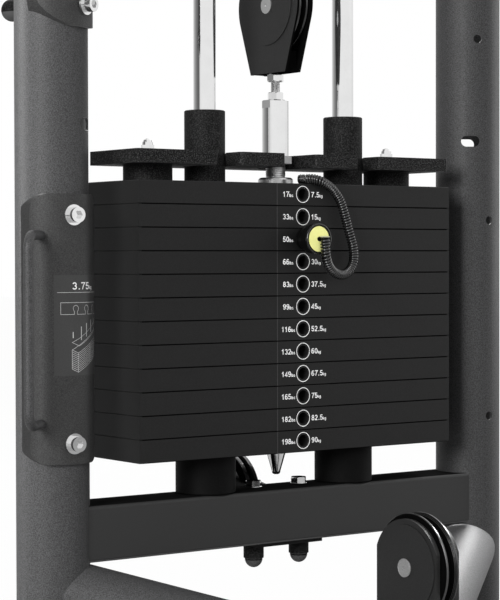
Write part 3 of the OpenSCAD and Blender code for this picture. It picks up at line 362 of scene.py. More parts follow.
# Near-black: the knob's own colour, and painted shade in the core inside the coil's top
KNOB_AND_CORE_SHADE_BLACK = finish_material("knob_and_core_shade_black", 0.001, 0.003, 700, 8e-6, (0.44, 0.52), specular=0.1)
DEEP_BLACK = finish_material("deep_black", 0.001, 0.002, 700, 4e-6, (0.60, 0.70), specular=0.1)
RIM_GREY = finish_material("rim_grey", 0.006, 0.010, 700, 4e-6, (0.20, 0.26), specular=0.8)
# Near-black without specular: dark joints between the plates, and painted shade on the block's spacer between
# its cheeks
JOINT_AND_SHADE_BLACK = finish_material("joint_and_painted_shade_black", 0.002, 0.004, 700, 4e-6, (0.70, 0.80), specular=0.0)
# Near-black: the rear bracket's own colour, and a painted dark reflection on the stem's tip
BRACKET_AND_TIP_SHADE_BLACK = finish_material("bracket_and_tip_shade_black", 0.004, 0.008, 700, 1e-5, (0.55, 0.62), specular=0.1)
WHEEL_BLACK = finish_material("wheel_black", 0.020, 0.028, 700, 6e-6, (0.26, 0.32), specular=0.8)
HEAD_GREY = finish_material("head_grey", 0.20, 0.25, 700, 4e-6, (0.40, 0.46), specular=0.4)
# Pale grey-yellow: painted highlight on the cap over the coil
CAP_PAINTED_HIGHLIGHT = finish_material("cap_highlight_tint", (0.40, 0.40, 0.26), (0.46, 0.46, 0.30), 700, 4e-6, (0.30, 0.36))
PANEL_GREY = finish_material("panel_grey", 0.040, 0.046, 700, 4e-6, (0.46, 0.52), specular=0.3)
LINE_GREY = finish_material("line_grey", 0.46, 0.52, 700, 4e-6, (0.46, 0.52))

slot_of = {row["node"]: row["material_slot"] for row in frame["record"]["subparts"]}
# The block's spacer gets the near-black without specular as painted shade between the cheeks
own_finish = {
    "saddle_plate": SADDLE_CHARCOAL, "clamp_saddle": SADDLE_CHARCOAL, "lower_beam": SMOOTH_CHARCOAL,
    "upper_beam": SMOOTH_CHARCOAL, "bumpers": STOP_RUBBER, "stem_nuts": DULL_ZINC, "pin_knob": KNOB_AND_CORE_SHADE_BLACK,
    "rear_bracket": BRACKET_AND_TIP_SHADE_BLACK, "block_spacer": JOINT_AND_SHADE_BLACK, "block_sheave": WHEEL_BLACK,
    "front_sheave": WHEEL_BLACK, "rear_sheave": WHEEL_BLACK}
for name, obj in nodes.items():
    obj.data.materials.clear()
    obj.data.materials.append(own_finish.get(name, MATERIALS[slot_of[name]]))


# Sockets of a Mix node: its two values and its result, for colours and for numbers
MIX_SOCKETS = {"RGBA": (6, 7, 2), "FLOAT": (2, 3, 0)}
TONE_INPUTS = {"Base Color": "RGBA", "Roughness": "FLOAT", "Specular IOR Level": "FLOAT", "Metallic": "FLOAT"}


def paint_light_or_shade(name, tone, axis, low, high, inside=True):
    """Paints shade or a highlight on a CAD node: gives it a copy of its finish, with a darker or lighter tone
    where a coordinate lies between low and high, or where it doesn't, if inside is False. tone is grey,
    roughness, specular and metallic; axis is "z", "|x|" for the distance from the middle plane, or "down" for
    the normal's part along Z."""
    if name not in nodes:
        return
    slot = nodes[name].material_slots[0]
    slot.material = slot.material.copy()
    tree_nodes, links = slot.material.node_tree.nodes, slot.material.node_tree.links
    shader = tree_nodes["Principled BSDF"]
    coords = tree_nodes.new("ShaderNodeTexCoord").outputs["Normal" if axis == "down" else "Object"]
    split = tree_nodes.new("ShaderNodeSeparateXYZ")
    links.new(coords, split.inputs[0])
    place = split.outputs["Z"]
    if axis == "|x|":
        place = math_node(tree_nodes, links, "ABSOLUTE", split.outputs["X"])
    mask = math_node(tree_nodes, links, "COMPARE", place, (low + high) / 2, (high - low) / 2)
    if not inside:
        mask = math_node(tree_nodes, links, "SUBTRACT", 1.0, mask)
    for (title, kind), value in zip(TONE_INPUTS.items(), tone):
        socket = shader.inputs[title]
        if not socket.is_linked and abs(socket.default_value - value) < 1e-6:
            continue
        mix = tree_nodes.new("ShaderNodeMix")
        mix.data_type = kind
        first, second, result = MIX_SOCKETS[kind]
        links.new(mask, mix.inputs[0])
        if socket.is_linked:
            links.new(socket.links[0].from_socket, mix.inputs[first])
        else:
            mix.inputs[first].default_value = socket.default_value
        mix.inputs[second].default_value = (value, value, value, 1) if kind == "RGBA" else value
        links.new(mix.outputs[result], socket)


# Painted shade and painted highlights: surfaces given a darker or lighter tone than the rest of their piece,
# where light leaves them darker or lighter
# Tone rows are grey, roughness, specular and metallic. The first two are painted shade, darker and without
# specular; the last three are painted highlights, lighter
PAINTED_SHADE = (0.003, 0.75, 0.0, 0.0)
BEAM_TOP_PAINTED_SHADE = (0.011, 0.75, 0.0, 0.0)
BEAM_EDGE_PAINTED_HIGHLIGHT = (0.095, 0.53, 0.3, 0.0)
COVER_PAINTED_HIGHLIGHT = (0.078, 0.65, 0.16, 0.0)
NUT_PAINTED_HIGHLIGHT = (0.70, 0.37, 0.5, 0.0)
# Painted shade on the beam's top face, the cheeks up to their outer face, the wheels except their flanges and
# the tops of the hex bolts; painted highlights on the beam's rounded lower corner, the covers' lower half and
# the lock nut, whose pale tone stands in for its bright reflection
paint_light_or_shade("lower_beam", BEAM_TOP_PAINTED_SHADE, "z", 231.6 * MM, 232.2 * MM)
paint_light_or_shade("lower_beam", BEAM_EDGE_PAINTED_HIGHLIGHT, "z", 172.3 * MM, 174.4 * MM)
paint_light_or_shade("nut_covers", COVER_PAINTED_HIGHLIGHT, "down", -1.1, -0.2)
paint_light_or_shade("stem_nuts", NUT_PAINTED_HIGHLIGHT, "z", 598 * MM, 640 * MM)
paint_light_or_shade("block_cheeks", PAINTED_SHADE, "|x|", 0.0, 10.85 * MM)
paint_light_or_shade("block_sheave", PAINTED_SHADE, "|x|", 3.6 * MM, 6.4 * MM, inside=False)
paint_light_or_shade("front_sheave", PAINTED_SHADE, "|x|", 6.3 * MM, 8.4 * MM, inside=False)
paint_light_or_shade("rear_sheave", PAINTED_SHADE, "|x|", 3.6 * MM, 8.4 * MM, inside=False)
paint_light_or_shade("hex_bolts", PAINTED_SHADE, "z", 240.8 * MM, 241.2 * MM)


# Curly lanyard, along the route of the solid that it replaces, with a thicker cord and closer curls

ROUTE = [Vector(p) * MM for p in [
    (3.6, -86.4, 512.6), (3.6, -86.4, 506), (4.1, -86.2, 499.5), (6.3, -85, 491.8), (11.8, -81.6, 483.8),
    (22.2, -77.4, 476.7), (36.3, -73.5, 473), (50, -70, 476.8), (58.2, -67.5, 485.2), (61, -65.5, 495.1),
    (60.5, -64, 506), (58.1, -62.6, 516.6), (55.2, -61.2, 528), (51.5, -60, 542.5), (45.5, -59.2, 557.5),
    (34.5, -58.6, 570), (21.5, -56.8, 577.2), (13.5, -51.6, 580), (7, -46, 580.1)]]
CURL_D = 11.2 * MM
CORD_D = 2.4 * MM
OPEN_PITCH = 3.12 * MM
CLOSED_PITCH = 2.62 * MM
CLOSED_L = 30 * MM
OPEN_GAP = 0.12 * MM
CLOSED_GAP = -0.25 * MM
# Lengths over which the curls open and the cord thins from the closed end on, and its extra thickness there
OPENING_L = 25 * MM
THINNING_L = 12 * MM
CLOSED_SWELL = 0.22
# Reach along the route for its direction and for its bend
WAY_REACH = 0.6 * MM
BEND_REACH = 4 * MM
ROUTE_STEPS = 1500
RINGS_PER_CURL = 20
CORD_SIDES = 10


def smooth_line(points, steps):
    """Points along a smooth curve through the given ones."""
    last = len(points) - 1
    slopes = [points[1] - points[0]]
    slopes += [(points[i + 1] - points[i - 1]) / 2 for i in range(1, last)]
    slopes += [points[last] - points[last - 1]]
    line = []
    for i in range(last):
        for k in range(steps):
            t = k / steps
            line.append((2 * t ** 3 - 3 * t ** 2 + 1) * points[i] + (t ** 3 - 2 * t ** 2 + t) * slopes[i]
                        + (3 * t ** 2 - 2 * t ** 3) * points[i + 1] + (t ** 3 - t ** 2) * slopes[i + 1])
    return line + [points[last]]


def make_lanyard():
    line = np.array([tuple(p) for p in smooth_line(ROUTE, 20)])
    run = np.concatenate([[0], np.cumsum(np.linalg.norm(np.diff(line, axis=0), axis=1))])
    total = run[-1]
    radius = (CURL_D - CORD_D) / 2

    def at(s):
        return Vector([np.interp(s, run, line[:, k]) for k in range(3)])

    def way(s, reach):
        return (at(min(total, s + reach)) - at(max(0, s - reach))).normalized()

    # How many curls lie before each point: an open run, room on the inside of each bend, and a closed end
    steps = np.linspace(0, total, ROUTE_STEPS)
    curls = [0.0]
    for s0, s1 in zip(steps, steps[1:]):
        s = (s0 + s1) / 2
        reach = min(BEND_REACH, s, total - s)
        bend = way(s - reach / 2, reach / 2).angle(way(s + reach / 2, reach / 2), 0) / max(reach, 1e-6)
        open_share = min(max((total - s - CLOSED_L) / OPENING_L, 0), 1)
        pitch = CLOSED_PITCH + (OPEN_PITCH - CLOSED_PITCH) * open_share
        gap = CLOSED_GAP + (OPEN_GAP - CLOSED_GAP) * open_share
        curls.append(curls[-1] + (s1 - s0) / max(pitch, (CORD_D + gap) / (1 - radius * bend)))
    rings = int(curls[-1] * RINGS_PER_CURL)
    centres, outs, shares = [], [], []
    for i in range(rings + 1):
        s = float(np.interp(curls[-1] * i / rings, curls, steps))
        along = way(s, WAY_REACH)
        side = along.cross(Vector((0, 1, 0))).normalized()
        up = side.cross(along)
        turn = 2 * math.pi * i / RINGS_PER_CURL
        out = math.cos(turn) * up + math.sin(turn) * side
        centres.append(at(s) + radius * out)
        outs.append(out)
        shares.append(s / total)
    points, weights = [], []
    for i, centre in enumerate(centres):
        t = (centres[min(i + 1, len(centres) - 1)] - centres[max(i - 1, 0)]).normalized()
        e1 = (outs[i] - outs[i].dot(t) * t).normalized()
        e2 = t.cross(e1)
        closed = float(min(max((CLOSED_L - (1 - shares[i]) * total) / THINNING_L, 0), 1))
        r = CORD_D / 2 * (1 + CLOSED_SWELL * closed)
        for j in range(CORD_SIDES):
            a, b = around(r, j, CORD_SIDES)
            points.append(centre + a * e1 + b * e2)
            weights.append(shares[i])
    faces = grid_faces(len(centres), CORD_SIDES) + end_faces(len(centres), CORD_SIDES)
    mesh = mesh_from("curly_lanyard", points, faces)
    mesh.shade_smooth()
    mesh.materials.append(CORD_BLACK)
    obj = bpy.data.objects.new("curly_lanyard", mesh)
    bpy.context.scene.collection.objects.link(obj)
    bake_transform(obj)
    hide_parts("lanyard")


make_lanyard()


def revolved(name, profile, matrix, body, material, columns=48, smooth=True):
    """A round piece: profile is (radius, height) pairs, turned about Z and then placed."""
    points = [matrix @ Vector((*around(r, j, columns), h)) for r, h in profile for j in range(columns)]
    mesh = mesh_from(name, points, grid_faces(len(profile), columns))
    return add_object(name, mesh, body, material, smooth)


SLEEVE_L = 8.8 * MM
SLEEVE_R = 5.4 * MM
SLEEVE_RIB = 0.32 * MM
SLEEVE_CAP_L = 3 * MM
FOOT_HALF_W = 3 * MM
# Near and far end of the foot along the sleeve, in millimetres
FOOT_REACH = (1.5, 7)


def lanyard_end():
    """The anchor on the head plate: closed curls with a round end, on a foot."""
    end, before = ROUTE[-1], ROUTE[-2]
    axis = (end - before).normalized()
    along = Matrix.Translation(end) @ axis.to_track_quat("Z", "Y").to_matrix().to_4x4()
    rows, columns = 72, 40
    points = []
    for k in range(rows + 1):
        h = SLEEVE_L * k / rows
        cap = min((SLEEVE_L - h) / SLEEVE_CAP_L, 1)
        rib = SLEEVE_RIB * math.cos(2 * math.pi * h / CLOSED_PITCH) * cap
        radius = (SLEEVE_R + rib) * math.sqrt(max(1 - (1 - cap) ** 2, 0.0001))
        points += [(*around(radius, j, columns), h) for j in range(columns)]
    sleeve = mesh_from("sleeve", points, grid_faces(rows + 1, columns) + end_faces(rows + 1, columns))
    across = Vector((-axis.y, axis.x, 0)) * FOOT_HALF_W
    near, far = FOOT_REACH
    corners = [end + axis * d * MM + across * side + Vector((0, 0, z - end.z))
               for z in (STACK_TOP, end.z) for d, side in ((near, -1), (far, -1), (far, 1), (near, 1))]
    foot = mesh_from("foot", corners, [(3, 2, 1, 0), (4, 5, 6, 7), (0, 1, 5, 4), (1, 2, 6, 5), (2, 3, 7, 6),
                                       (3, 0, 4, 7)])
    made = joined("lanyard_end", [(sleeve, along), (foot, Matrix())])
    obj = add_object("lanyard_end", made, "lifted_stack", CORD_BLACK)
    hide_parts("lanyard_anchor")


lanyard_end()


# Knob: a raised grey rim and a dark groove round the disc, and at the top of the coil a dark core, which is
# painted shade inside the coil, and a cap with a painted highlight

COIL_PLACE = Vector((3.6, -86.4, 506.4)) * MM
COIL_L = 8.2 * MM
KNOB_RIM = [(15.5, -0.4), (15.7, 0.5), (16.3, 0.9), (16.9, 0.6), (17.2, -0.2), (17.2, -2.2), (16.8, -2.8),
            (16.2, -2.8)]
KNOB_GROOVE = (14.35 * MM, 15.9 * MM)
KNOB_STEPS = 72
COIL_STEPS = 40


def knob_trim():
    front = Matrix.Translation((0, KNOB_FACE, PIN_Z)) @ FACE_FRONT
    revolved("knob_rim", in_mm(KNOB_RIM), front, "selector_pin", RIM_GREY, KNOB_STEPS)
    inner, outer = KNOB_GROOVE
    groove = flat_shape([circle(outer, KNOB_STEPS), circle(inner, KNOB_STEPS)], 0.1 * MM)
    lifted = front @ Matrix.Translation((0, 0, 0.06 * MM))
    add_object("knob_groove", joined("groove", [(groove, lifted)]), "selector_pin",
               DEEP_BLACK, smooth=False)
    # A dark core inside the top of the coil: painted shade where the coil's inside lies in shade; a real cord
    # has no core
    core = [(0.1 * MM, COIL_L), (4.5 * MM, COIL_L), (4.5 * MM, 0), (0.1 * MM, 0)]
    revolved("coil_shade_core", core, Matrix.Translation(COIL_PLACE), "selector_pin", KNOB_AND_CORE_SHADE_BLACK,
             COIL_STEPS)
    # The cap's pale tint is a painted highlight on the fitting at the coil's top
    cap = in_mm([(0.1, 1.5), (4.6, 1.5), (5.3, 0.9), (5.3, 0), (0.1, 0)])
    revolved("coil_cap", cap, Matrix.Translation(COIL_PLACE + Vector((0, 0, COIL_L))), "selector_pin",
             CAP_PAINTED_HIGHLIGHT, COIL_STEPS, smooth=False)


knob_trim()


# Prints on the plates: a dark film, a lighter strip at its left end that is a painted highlight on the film's
# edge, a white ring round the selector hole, and plain numbers

FILM_X0 = -36.1 * MM
FILM_X1 = 35.6 * MM
FILM_H = 23.8 * MM
FILM_T = 0.10 * MM
FILM_EDGE_W = 0.7 * MM
INK_T = 0.06 * MM
RING_R = 9.05 * MM
RING_W = 0.80 * MM
FIGURE_H = 5.9 * MM
UNIT_H = 3.4 * MM
RIGHT_START = 11.6 * MM
LEFT_MIDDLE = -20.9 * MM
BASELINE = -2.7 * MM
LETTER_GAP = 0.1 * MM
FILM_HOLE_R = 6.6 * MM
FIGURE_WEIGHT = 0.175
UNIT_WEIGHT = 0.18
RING_STEPS = 96


def amount(number, unit):
    """A number with its unit behind it, as (mesh, X) pairs, and the whole width."""
    figures, figures_w = written(number, FIGURE_H, FIGURE_WEIGHT)
    letters, letters_w = written(unit, UNIT_H, UNIT_WEIGHT)
    return [(figures, 0), (letters, figures_w + LETTER_GAP)], figures_w + LETTER_GAP + letters_w


def on_front(z, lift):
    """Places a flat shape on the plates' front, its origin at height z."""
    return Matrix.Translation((0, PLATE_FRONT - lift, z)) @ FACE_FRONT


def add_print(name, i, parts, material):
    add_object("%s_%02d" % (name, i), joined(name, parts), "lifted_stack" if i <= LIFTED_COUNT else "frame",
               material, smooth=False)


def print_plate(i):
    middle = STACK_TOP - (i - 0.5) * PLATE_T
    film_place = on_front(middle, FILM_T / 2)
    edge_x1 = FILM_X0 + FILM_EDGE_W
    film = flat_shape([rounded_box(edge_x1, FILM_X1, -FILM_H / 2, FILM_H / 2, 0.3 * MM),
                       circle(FILM_HOLE_R, y=SELECT_RISE)], FILM_T)
    add_print("plate_film", i, [(film, film_place)], DECAL_BLACK)
    # The lighter strip along the film's left end is a painted highlight on its edge
    edge = flat_shape([rounded_box(FILM_X0, edge_x1, -FILM_H / 2, FILM_H / 2, 0.2 * MM)], FILM_T)
    add_print("film_highlight_strip", i, [(edge, film_place)], FILM_HIGHLIGHT_FINISH)
    ring = flat_shape([circle(RING_R + RING_W / 2, RING_STEPS, SELECT_RISE),
                       circle(RING_R - RING_W / 2, RING_STEPS, SELECT_RISE)], INK_T)
    kilos = i * PLATE_MASS
    right, _ = amount("%g" % kilos, "kg")
    left, left_w = amount("%d" % round(kilos * POUNDS_PER_KG), "lbs")
    ink = on_front(middle, FILM_T + INK_T / 2)
    shapes = [(mesh, RIGHT_START + x) for mesh, x in right]
    shapes += [(mesh, LEFT_MIDDLE - left_w / 2 + x) for mesh, x in left]
    parts = [(ring, ink)] + [(mesh, ink @ Matrix.Translation((x, BASELINE, 0))) for mesh, x in shapes]
    add_print("plate_print", i, parts, PRINT_WHITE)


SEAM_X = 214 * MM
SEAM_T = 0.03 * MM
SEAM_LIFT = 0.02 * MM
# Height of the seam's strip at a plate's lower and upper end
SEAM_LOW = 0.6 * MM
SEAM_HIGH = 0.5 * MM


def plate_seam(i):
    """The dark joint over and under a plate, on its front face."""
    top = STACK_TOP - (i - 1) * PLATE_T
    strips = [(SEAM_LOW, top - PLATE_T + SEAM_LOW / 2)]
    if i > 1:
        strips.append((SEAM_HIGH, top - SEAM_HIGH / 2))
    parts = [(flat_shape([rounded_box(-SEAM_X, SEAM_X, -height / 2, height / 2, 0.1 * MM)], SEAM_T),
              on_front(z, SEAM_LIFT)) for height, z in strips]
    add_print("plate_seam", i, parts, JOINT_AND_SHADE_BLACK)


for i in range(1, PLATE_COUNT + 1):
    print_plate(i)
    plate_seam(i)


# Threads on the stem and on the stud over the coupling

THREAD_COLUMNS = 48
ROWS_PER_PITCH = 8


def thread(name, z0, z1, r, pitch, depth):
    """A helical ridge proud of a plain shank of radius r."""
    rows = int((z1 - z0) / pitch * ROWS_PER_PITCH) + 1
    points = []
    for i in range(rows):
        z = z0 + (z1 - z0) * i / (rows - 1)
        edge = min(1.0, min(z - z0, z1 - z) / pitch)
        for j in range(THREAD_COLUMNS):
            phase = ((z - z0) / pitch - j / THREAD_COLUMNS) % 1.0
            ridge = 1 - abs(2 * phase - 1)
            radius = r + depth * (0.05 + 0.95 * ridge) * edge
            points.append((*around(radius, j, THREAD_COLUMNS), z))
    mesh = mesh_from(name, points, grid_faces(rows, THREAD_COLUMNS))
    return add_object(name, mesh, "lifted_stack", DULL_ZINC)


threads = [thread("stem_thread", 583.2 * MM, 598.5 * MM, STEM_R, 2.1 * MM, 0.55 * MM),
           thread("stud_thread", 679.9 * MM, 691.6 * MM, STUD_R, 1.7 * MM, 0.45 * MM)]


# Flat head of the front axle, with its rim and centre

AXLE_HEAD = [(0.1, 0.1), (1.3, 0.1), (1.7, 0.7), (8.3, 0.7), (8.6, 1.0), (9.3, 1.0), (9.75, 0.5),
             (9.75, -0.6)]
on_cheek = Matrix.Translation((FRONT_CHEEK_FACE, *FRONT_AXLE[1:]))
revolved("front_axle_head", in_mm(AXLE_HEAD), on_cheek @ Matrix.Rotation(math.radians(-90), 4, "Y"), "frame",
         HEAD_GREY, 64, smooth=False)


# Stud with its two nuts, whose ends are chamfered

NUT_R = 8.3 * MM
NUT_BEVEL = 1.1 * MM
NUT_COLUMNS = 72
# Low and high end of each nut, and its turn in degrees
NUTS = [(670.7 * MM, 679.7 * MM, 0), (691.8 * MM, 700.7 * MM, 40)]
STUD_ENDS = (655 * MM, 712 * MM)


def stud_and_nuts():
    points, faces = [], []

    def solid_of(rings):
        """Adds a closed solid from (height, radius by column) pairs."""
        start = len(points)
        for z, radius in rings:
            points.extend((*around(radius(j), j, NUT_COLUMNS), z) for j in range(NUT_COLUMNS))
        made = grid_faces(len(rings), NUT_COLUMNS) + end_faces(len(rings), NUT_COLUMNS)
        faces.extend(tuple(start + corner for corner in face) for face in made)

    for low, high, turn in NUTS:
        def side(j, turn=turn):
            return NUT_R / math.cos(math.radians((360 / NUT_COLUMNS * j - turn) % 60 - 30))

        def end(j, side=side):
            return min(side(j), NUT_R * 1.01)

        solid_of([(low, end), (low + NUT_BEVEL, side), (high - NUT_BEVEL, side), (high, end)])
    solid_of([(z, lambda j: STUD_R) for z in STUD_ENDS])
    made = add_object("stud_and_nuts", mesh_from("stud_and_nuts", points, faces), "lifted_stack",
                      MATERIALS["bright_chrome"], smooth=False)
    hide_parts("block_stud")
    return made


stud = stud_and_nuts()


# Fine rings on the far flange of the low wheels, and a dark shell over the end of the stem under the stack, a
# painted dark reflection in the stem's rounded tip

WHEEL_RING_STEPS = 96
WHEEL_RING_REACH = 0.34 * MM
FRONT_RINGS = [(55.5, 5.9), (54.4, 5.2), (53.3, 4.5)]
REAR_RINGS = [(52.5, 3.4), (51.4, 2.9), (50.3, 2.4)]
STEM_END = [(0.1, -0.1), (2.7, -0.1), (4.15, 0.75), (4.75, 2.2), (4.9, 2.9)]


def flange_rings(name, body, place, rings):
    """Fine bright rings round a wheel, each from its radius and X, on the flange away from the camera."""
    reach = WHEEL_RING_REACH
    parts = []
    for r, x in in_mm(rings):
        points = [(x + dx, *around(r + dr, j, WHEEL_RING_STEPS))
                  for dx, dr in ((0, -reach), (-reach, 0), (0, reach)) for j in range(WHEEL_RING_STEPS)]
        parts.append((mesh_from("ring", points, grid_faces(3, WHEEL_RING_STEPS)), Matrix.Translation(place)))
    return add_object(name, joined(name, parts), body, WHEEL_BLACK)


wheel_rings = [flange_rings("front_wheel_rings", "front_wheel", FRONT_AXLE, FRONT_RINGS),
               flange_rings("rear_wheel_rings", "rear_wheel", REAR_AXLE, REAR_RINGS)]
revolved("stem_tip_painted_reflection", in_mm(STEM_END), Matrix.Translation((0, 0, STEM_END_Z)), "lifted_stack",
         BRACKET_AND_TIP_SHADE_BLACK)


# Panel on the saddle plate, curved round the upright, with a plain number and a plain line drawing

PANEL_R = SADDLE_R + 0.15 * MM
PANEL_A0 = -28
PANEL_A1 = 58
PANEL_EDGE = 56
PANEL_Z0 = 371 * MM
PANEL_Z1 = 475 * MM
BEND_STEP = 1.5 * MM
NUMBER_PLACE = (-2.8, 460)
# Height of the bar, its left end, the middles of its notches, and their half width, neck and round end
BAR_Z = (434.3 * MM, 446.5 * MM)
BAR_LEFT = -18.8
NOTCHES = (3.5, 23.5, 42)
NOTCH_HALF_W = 1.9 * MM
NOTCH_NECK = 3 * MM
NOTCH_END = (3.3 * MM, 3.4 * MM)
NOTCH_END_Z = 6 * MM
# The drawn stack: its plates' step, and the lines round them, in degrees and millimetres
STACK_LAYERS = 11
LAYER_STEP = 1.98
STACK_LINES = [
    [(-2.6, 377.8), (-2.6, 397.6)], [(7.3, 374.4), (7.3, 394.2)], [(32, 384), (32, 404)],
    [(-2.6, 397.6), (12, 403.5), (50, 420)], [(9, 401.5), (-2.6, 405.3), (9.6, 409.5), (50, 427)],
    [(9, 401.5), (50, 418)]]
ARROWS = [
    [(-1, 416.2), (-1, 409.8)], [(12.8, 421.5), (12.8, 407.5)], [(23.2, 424.9), (23.2, 411)],
    [(34.8, 428.4), (34.8, 415.6)], [(46, 430), (46, 423.7)]]


def round_upright(mesh, lift):
    """Bends a flat mesh, whose X runs round the saddle and whose Y is the height, onto the panel."""
    for v in mesh.vertices:
        a = v.co.x / PANEL_R
        r = PANEL_R + lift + v.co.z
        v.co = (-UPRIGHT_X + r * math.sin(a), -r * math.cos(a), v.co.y)
    return mesh


def fine_line(points):
    """The same line with points close enough together to bend."""
    made = [points[0]]
    for (x0, y0), (x1, y1) in zip(points, points[1:]):
        count = max(1, int(math.hypot(x1 - x0, y1 - y0) / BEND_STEP))
        made += [(x0 + (x1 - x0) * k / count, y0 + (y1 - y0) * k / count) for k in range(1, count + 1)]
    return made


def panel_x(degrees):
    return math.radians(degrees) * PANEL_R


def on_panel(points):
    """Points given in degrees round the saddle and millimetres of height."""
    return [(panel_x(degrees), z * MM) for degrees, z in points]


def notched_bar():
    low, high = BAR_Z
    edge, left = panel_x(PANEL_EDGE), panel_x(BAR_LEFT)
    line = [(edge, high), (left, high), (left, low)]
    for middle in NOTCHES:
        m = panel_x(middle)
        line += [(m - NOTCH_HALF_W, low), (m - NOTCH_HALF_W, low + NOTCH_NECK)]
        line += [(x + m, y + low + NOTCH_END_Z) for x, y in arc(0, 0, *NOTCH_END, 225, -45, 10)]
        line += [(m + NOTCH_HALF_W, low + NOTCH_NECK), (m + NOTCH_HALF_W, low)]
    return line + [(edge, low)]


def panel_lines(name, lines, width, lift):
    mesh = strokes([fine_line(line) for line in lines], width, 0.001 * MM)
    add_object(name, round_upright(mesh, lift), "frame", LINE_GREY, smooth=False)


def saddle_panel():
    columns, rows = 40, 12
    x0, x1 = panel_x(PANEL_A0), panel_x(PANEL_A1)
    points = [(x0 + (x1 - x0) * j / columns, PANEL_Z0 + (PANEL_Z1 - PANEL_Z0) * i / rows, 0)
              for i in range(rows + 1) for j in range(columns + 1)]
    mesh = mesh_from("saddle_panel", points, grid_faces(rows + 1, columns + 1, closed=False))
    add_object("saddle_panel", round_upright(mesh, 0), "frame", PANEL_GREY)

    number, number_w = written("3.75", 7.4 * MM, 0.17, 1.22)
    unit, _ = written("kg", 4.2 * MM, 0.16)
    (left, base), = on_panel([NUMBER_PLACE])
    number_places = [Matrix.Translation((left + x, base, 0)) for x in (0, number_w + 0.3 * MM)]
    made = round_upright(joined("panel_number", zip((number, unit), number_places)), 0.14 * MM)
    add_object("panel_number", made, "frame", PRINT_WHITE, smooth=False)

    panel_lines("panel_arrows", [on_panel(line) for line in ARROWS], 1.0 * MM, 0.05 * MM)
    layers = [[(x, z + LAYER_STEP * step) for x, z in ((-2.6, 377.8), (7.3, 374.4), (50, 391))]
              for step in range(STACK_LAYERS)]
    rule = [(-23.5, 457), (PANEL_EDGE, 457)]
    lines = [on_panel(rule), notched_bar()] + [on_panel(line) for line in layers + STACK_LINES]
    panel_lines("panel_drawing", lines, 0.45 * MM, 0.03 * MM)


saddle_panel()


# Floor, world and lights

FLOOR_REACH = 20
FLOOR_DROP = 0.0005
# Share of the even white that the camera sees on the floor, over its lit surface
FLOOR_GLOW = 0.975
DIFFUSE_LIGHT = 0.21
CEILING_LIGHT = 0.5
# Brightness of the studio by the direction in degrees, from the front (0) towards the right
STUDIO = [(-180, 0.72), (-158, 0.47), (-140, 0.34), (-122, 0.22), (-104, 0.14), (-90, 0.18), (-82, 0.90),
          (-65, 0.99), (45, 0.97), (70, 0.92), (100, 0.80), (135, 0.98), (180, 0.74)]
# How much of the bright ceiling over the back and the right side shows in each direction, and by height
CEILING = [(-180, 0.9), (-150, 0.2), (-130, 0.0), (30, 0.0), (60, 0.5), (110, 0.9), (150, 1.0), (180, 0.9)]
CEILING_HEIGHT = [(0.06, 0.0), (0.34, 1.0), (0.88, 1.0), (1.0, 0.3)]


def seen_rays(tree_nodes, links):
    """A Light Path node, and 1 for the rays in which the camera sees a surface."""
    rays = tree_nodes.new("ShaderNodeLightPath")
    return rays, math_node(tree_nodes, links, "MAXIMUM", rays.outputs["Is Camera Ray"],
                           rays.outputs["Is Transmission Ray"])


def mix_shaders(tree_nodes, links, factor, first, second):
    node = tree_nodes.new("ShaderNodeMixShader")
    for socket, value in zip(node.inputs, (factor, first, second)):
        links.new(value, socket)
    return node.outputs[0]


def make_floor():
    reach, z = FLOOR_REACH, -FLOOR_DROP
    corners = [(-reach, -reach, z), (reach, -reach, z), (reach, reach, z), (-reach, reach, z)]
    mesh = mesh_from("floor", corners, [(0, 1, 2, 3)])
    floor = bpy.data.objects.new("floor", mesh)
    bpy.context.scene.collection.objects.link(floor)
    material, tree_nodes, links = new_material("floor")
    shader = tree_nodes["Principled BSDF"]
    shader.inputs["Base Color"].default_value = (0.50, 0.50, 0.50, 1)
    shader.inputs["Roughness"].default_value = 0.8
    glow = tree_nodes.new("ShaderNodeEmission")
    glow.inputs["Strength"].default_value = 1.0
    _, seen = seen_rays(tree_nodes, links)
    share = math_node(tree_nodes, links, "MULTIPLY", seen, FLOOR_GLOW)
    surface = mix_shaders(tree_nodes, links, share, shader.outputs[0], glow.outputs[0])
    links.new(surface, tree_nodes["Material Output"].inputs["Surface"])
    mesh.materials.append(material)


make_floor()


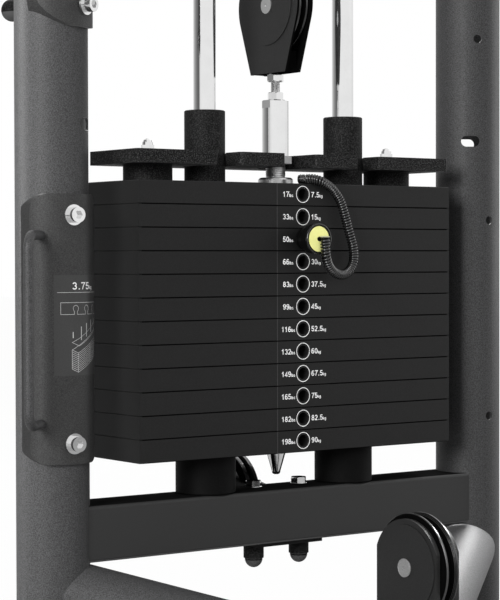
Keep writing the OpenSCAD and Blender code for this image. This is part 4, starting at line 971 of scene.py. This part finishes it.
def make_world():
    """White where the camera sees it, a low even light for diffuse rays, and for glossy rays a studio that is
    bright in front and behind, with a dark side on the left."""
    world = bpy.data.worlds.new("studio")
    bpy.context.scene.world = world
    world.use_nodes = True
    tree_nodes, links = world.node_tree.nodes, world.node_tree.links
    tree_nodes.clear()
    out = tree_nodes.new("ShaderNodeOutputWorld")
    coords = tree_nodes.new("ShaderNodeTexCoord")
    axes = tree_nodes.new("ShaderNodeSeparateXYZ")
    links.new(coords.outputs["Generated"], axes.inputs[0])

    def maths(kind, *values):
        return math_node(tree_nodes, links, kind, *values)

    def by_direction(table):
        return ramp(tree_nodes, links, share, [(degrees / 360 + 0.5, value) for degrees, value in table])

    def background(light):
        """A white background, or one whose brightness comes from a socket."""
        node = tree_nodes.new("ShaderNodeBackground")
        if hasattr(light, "default_value"):
            node.inputs["Strength"].default_value = 1.0
            links.new(light, node.inputs["Color"])
        else:
            node.inputs["Strength"].default_value = light
            node.inputs["Color"].default_value = (1, 1, 1, 1)
        return node.outputs[0]

    turn = maths("ARCTAN2", axes.outputs["X"], maths("MULTIPLY", axes.outputs["Y"], -1.0))
    share = maths("ADD", maths("DIVIDE", turn, 2 * math.pi), 0.5)
    height = ramp(tree_nodes, links, axes.outputs["Z"], CEILING_HEIGHT)
    ceiling = maths("MULTIPLY", maths("MULTIPLY", by_direction(CEILING), height), CEILING_LIGHT)
    studio_light = maths("ADD", by_direction(STUDIO), ceiling)
    rays, seen = seen_rays(tree_nodes, links)
    lit = mix_shaders(tree_nodes, links, rays.outputs["Is Glossy Ray"], background(DIFFUSE_LIGHT),
                      background(studio_light))
    links.new(mix_shaders(tree_nodes, links, seen, lit, background(1.0)), out.inputs["Surface"])


make_world()


def area_light(name, place, target, size, watts, kept_off=(), only=(), glossy=True):
    """An area lamp, with the objects that it doesn't light, or the only ones that it lights."""
    data = bpy.data.lights.new(name, "AREA")
    data.shape = "RECTANGLE"
    data.size, data.size_y = size
    data.energy = watts
    light = bpy.data.objects.new(name, data)
    bpy.context.scene.collection.objects.link(light)
    light.location = place
    light.rotation_euler = (Vector(target) - Vector(place)).to_track_quat("-Z", "Y").to_euler()
    light.visible_glossy = glossy
    if kept_off or only:
        group = bpy.data.collections.new(name + "_pieces")
        for obj in only or kept_off:
            group.objects.link(obj)
        for entry in group.collection_objects:
            entry.light_linking.link_state = "INCLUDE" if only else "EXCLUDE"
        light.light_linking.receiver_collection = group


def pieces(*names):
    return [nodes[name] for name in names if name in nodes]


# The dark tubes and sleeves don't show in the polished rods beside them
for obj in pieces("left_upright", "right_upright", "guide_sleeves"):
    obj.visible_glossy = False

polished = pieces("guide_rods", "stem_coupling", "block_stud", "stem_nuts", "add_on_nuts", "selector_stem",
                  "hex_bolts", "pulley_axles", "block_axle", "cap_screws") + threads + [stud]
wheels = pieces("front_sheave", "front_cheeks", "rear_sheave", "block_sheave") + wheel_rings
for name, place, target, size, watts, linked in [
        ("key", (-3.6, -1.7, 1.7), (0, 0, 0.6), (1.3, 1.8), 140, {"kept_off": polished}),
        ("front_fill", (-0.9, -3.6, 1.8), (0, 0, 0.5), (1.8, 1.2), 45,
         {"kept_off": pieces("right_upright"), "glossy": False}),
        ("right_side", (1.9, -0.3, 0.8), (0.25, 0, 0.5), (0.7, 1.2), 9,
         {"kept_off": polished + pieces("left_upright")}),
        ("back_top", (1.5, 2.5, 3.0), (0, 0, 0.4), (1.6, 1.6), 110, {"kept_off": polished}),
        ("leg_light", (2.04, 0.21, 2.46), (0.15, -0.12, 0.15), (1.4, 1.4), 250,
         {"only": pieces("right_leg")}),
        ("left_edge", (-2.6, 1.9, 1.2), (-0.3, 0, 0.5), (1.0, 1.6), 90, {"only": pieces("left_upright")}),
        ("wheel_light", (2.2, -0.4, 2.6), (0, -0.2, 0.2), (0.8, 0.8), 90, {"only": wheels})]:
    area_light(name, place, target, size, watts, **linked)

bpy.context.scene.view_settings.view_transform = "Standard"
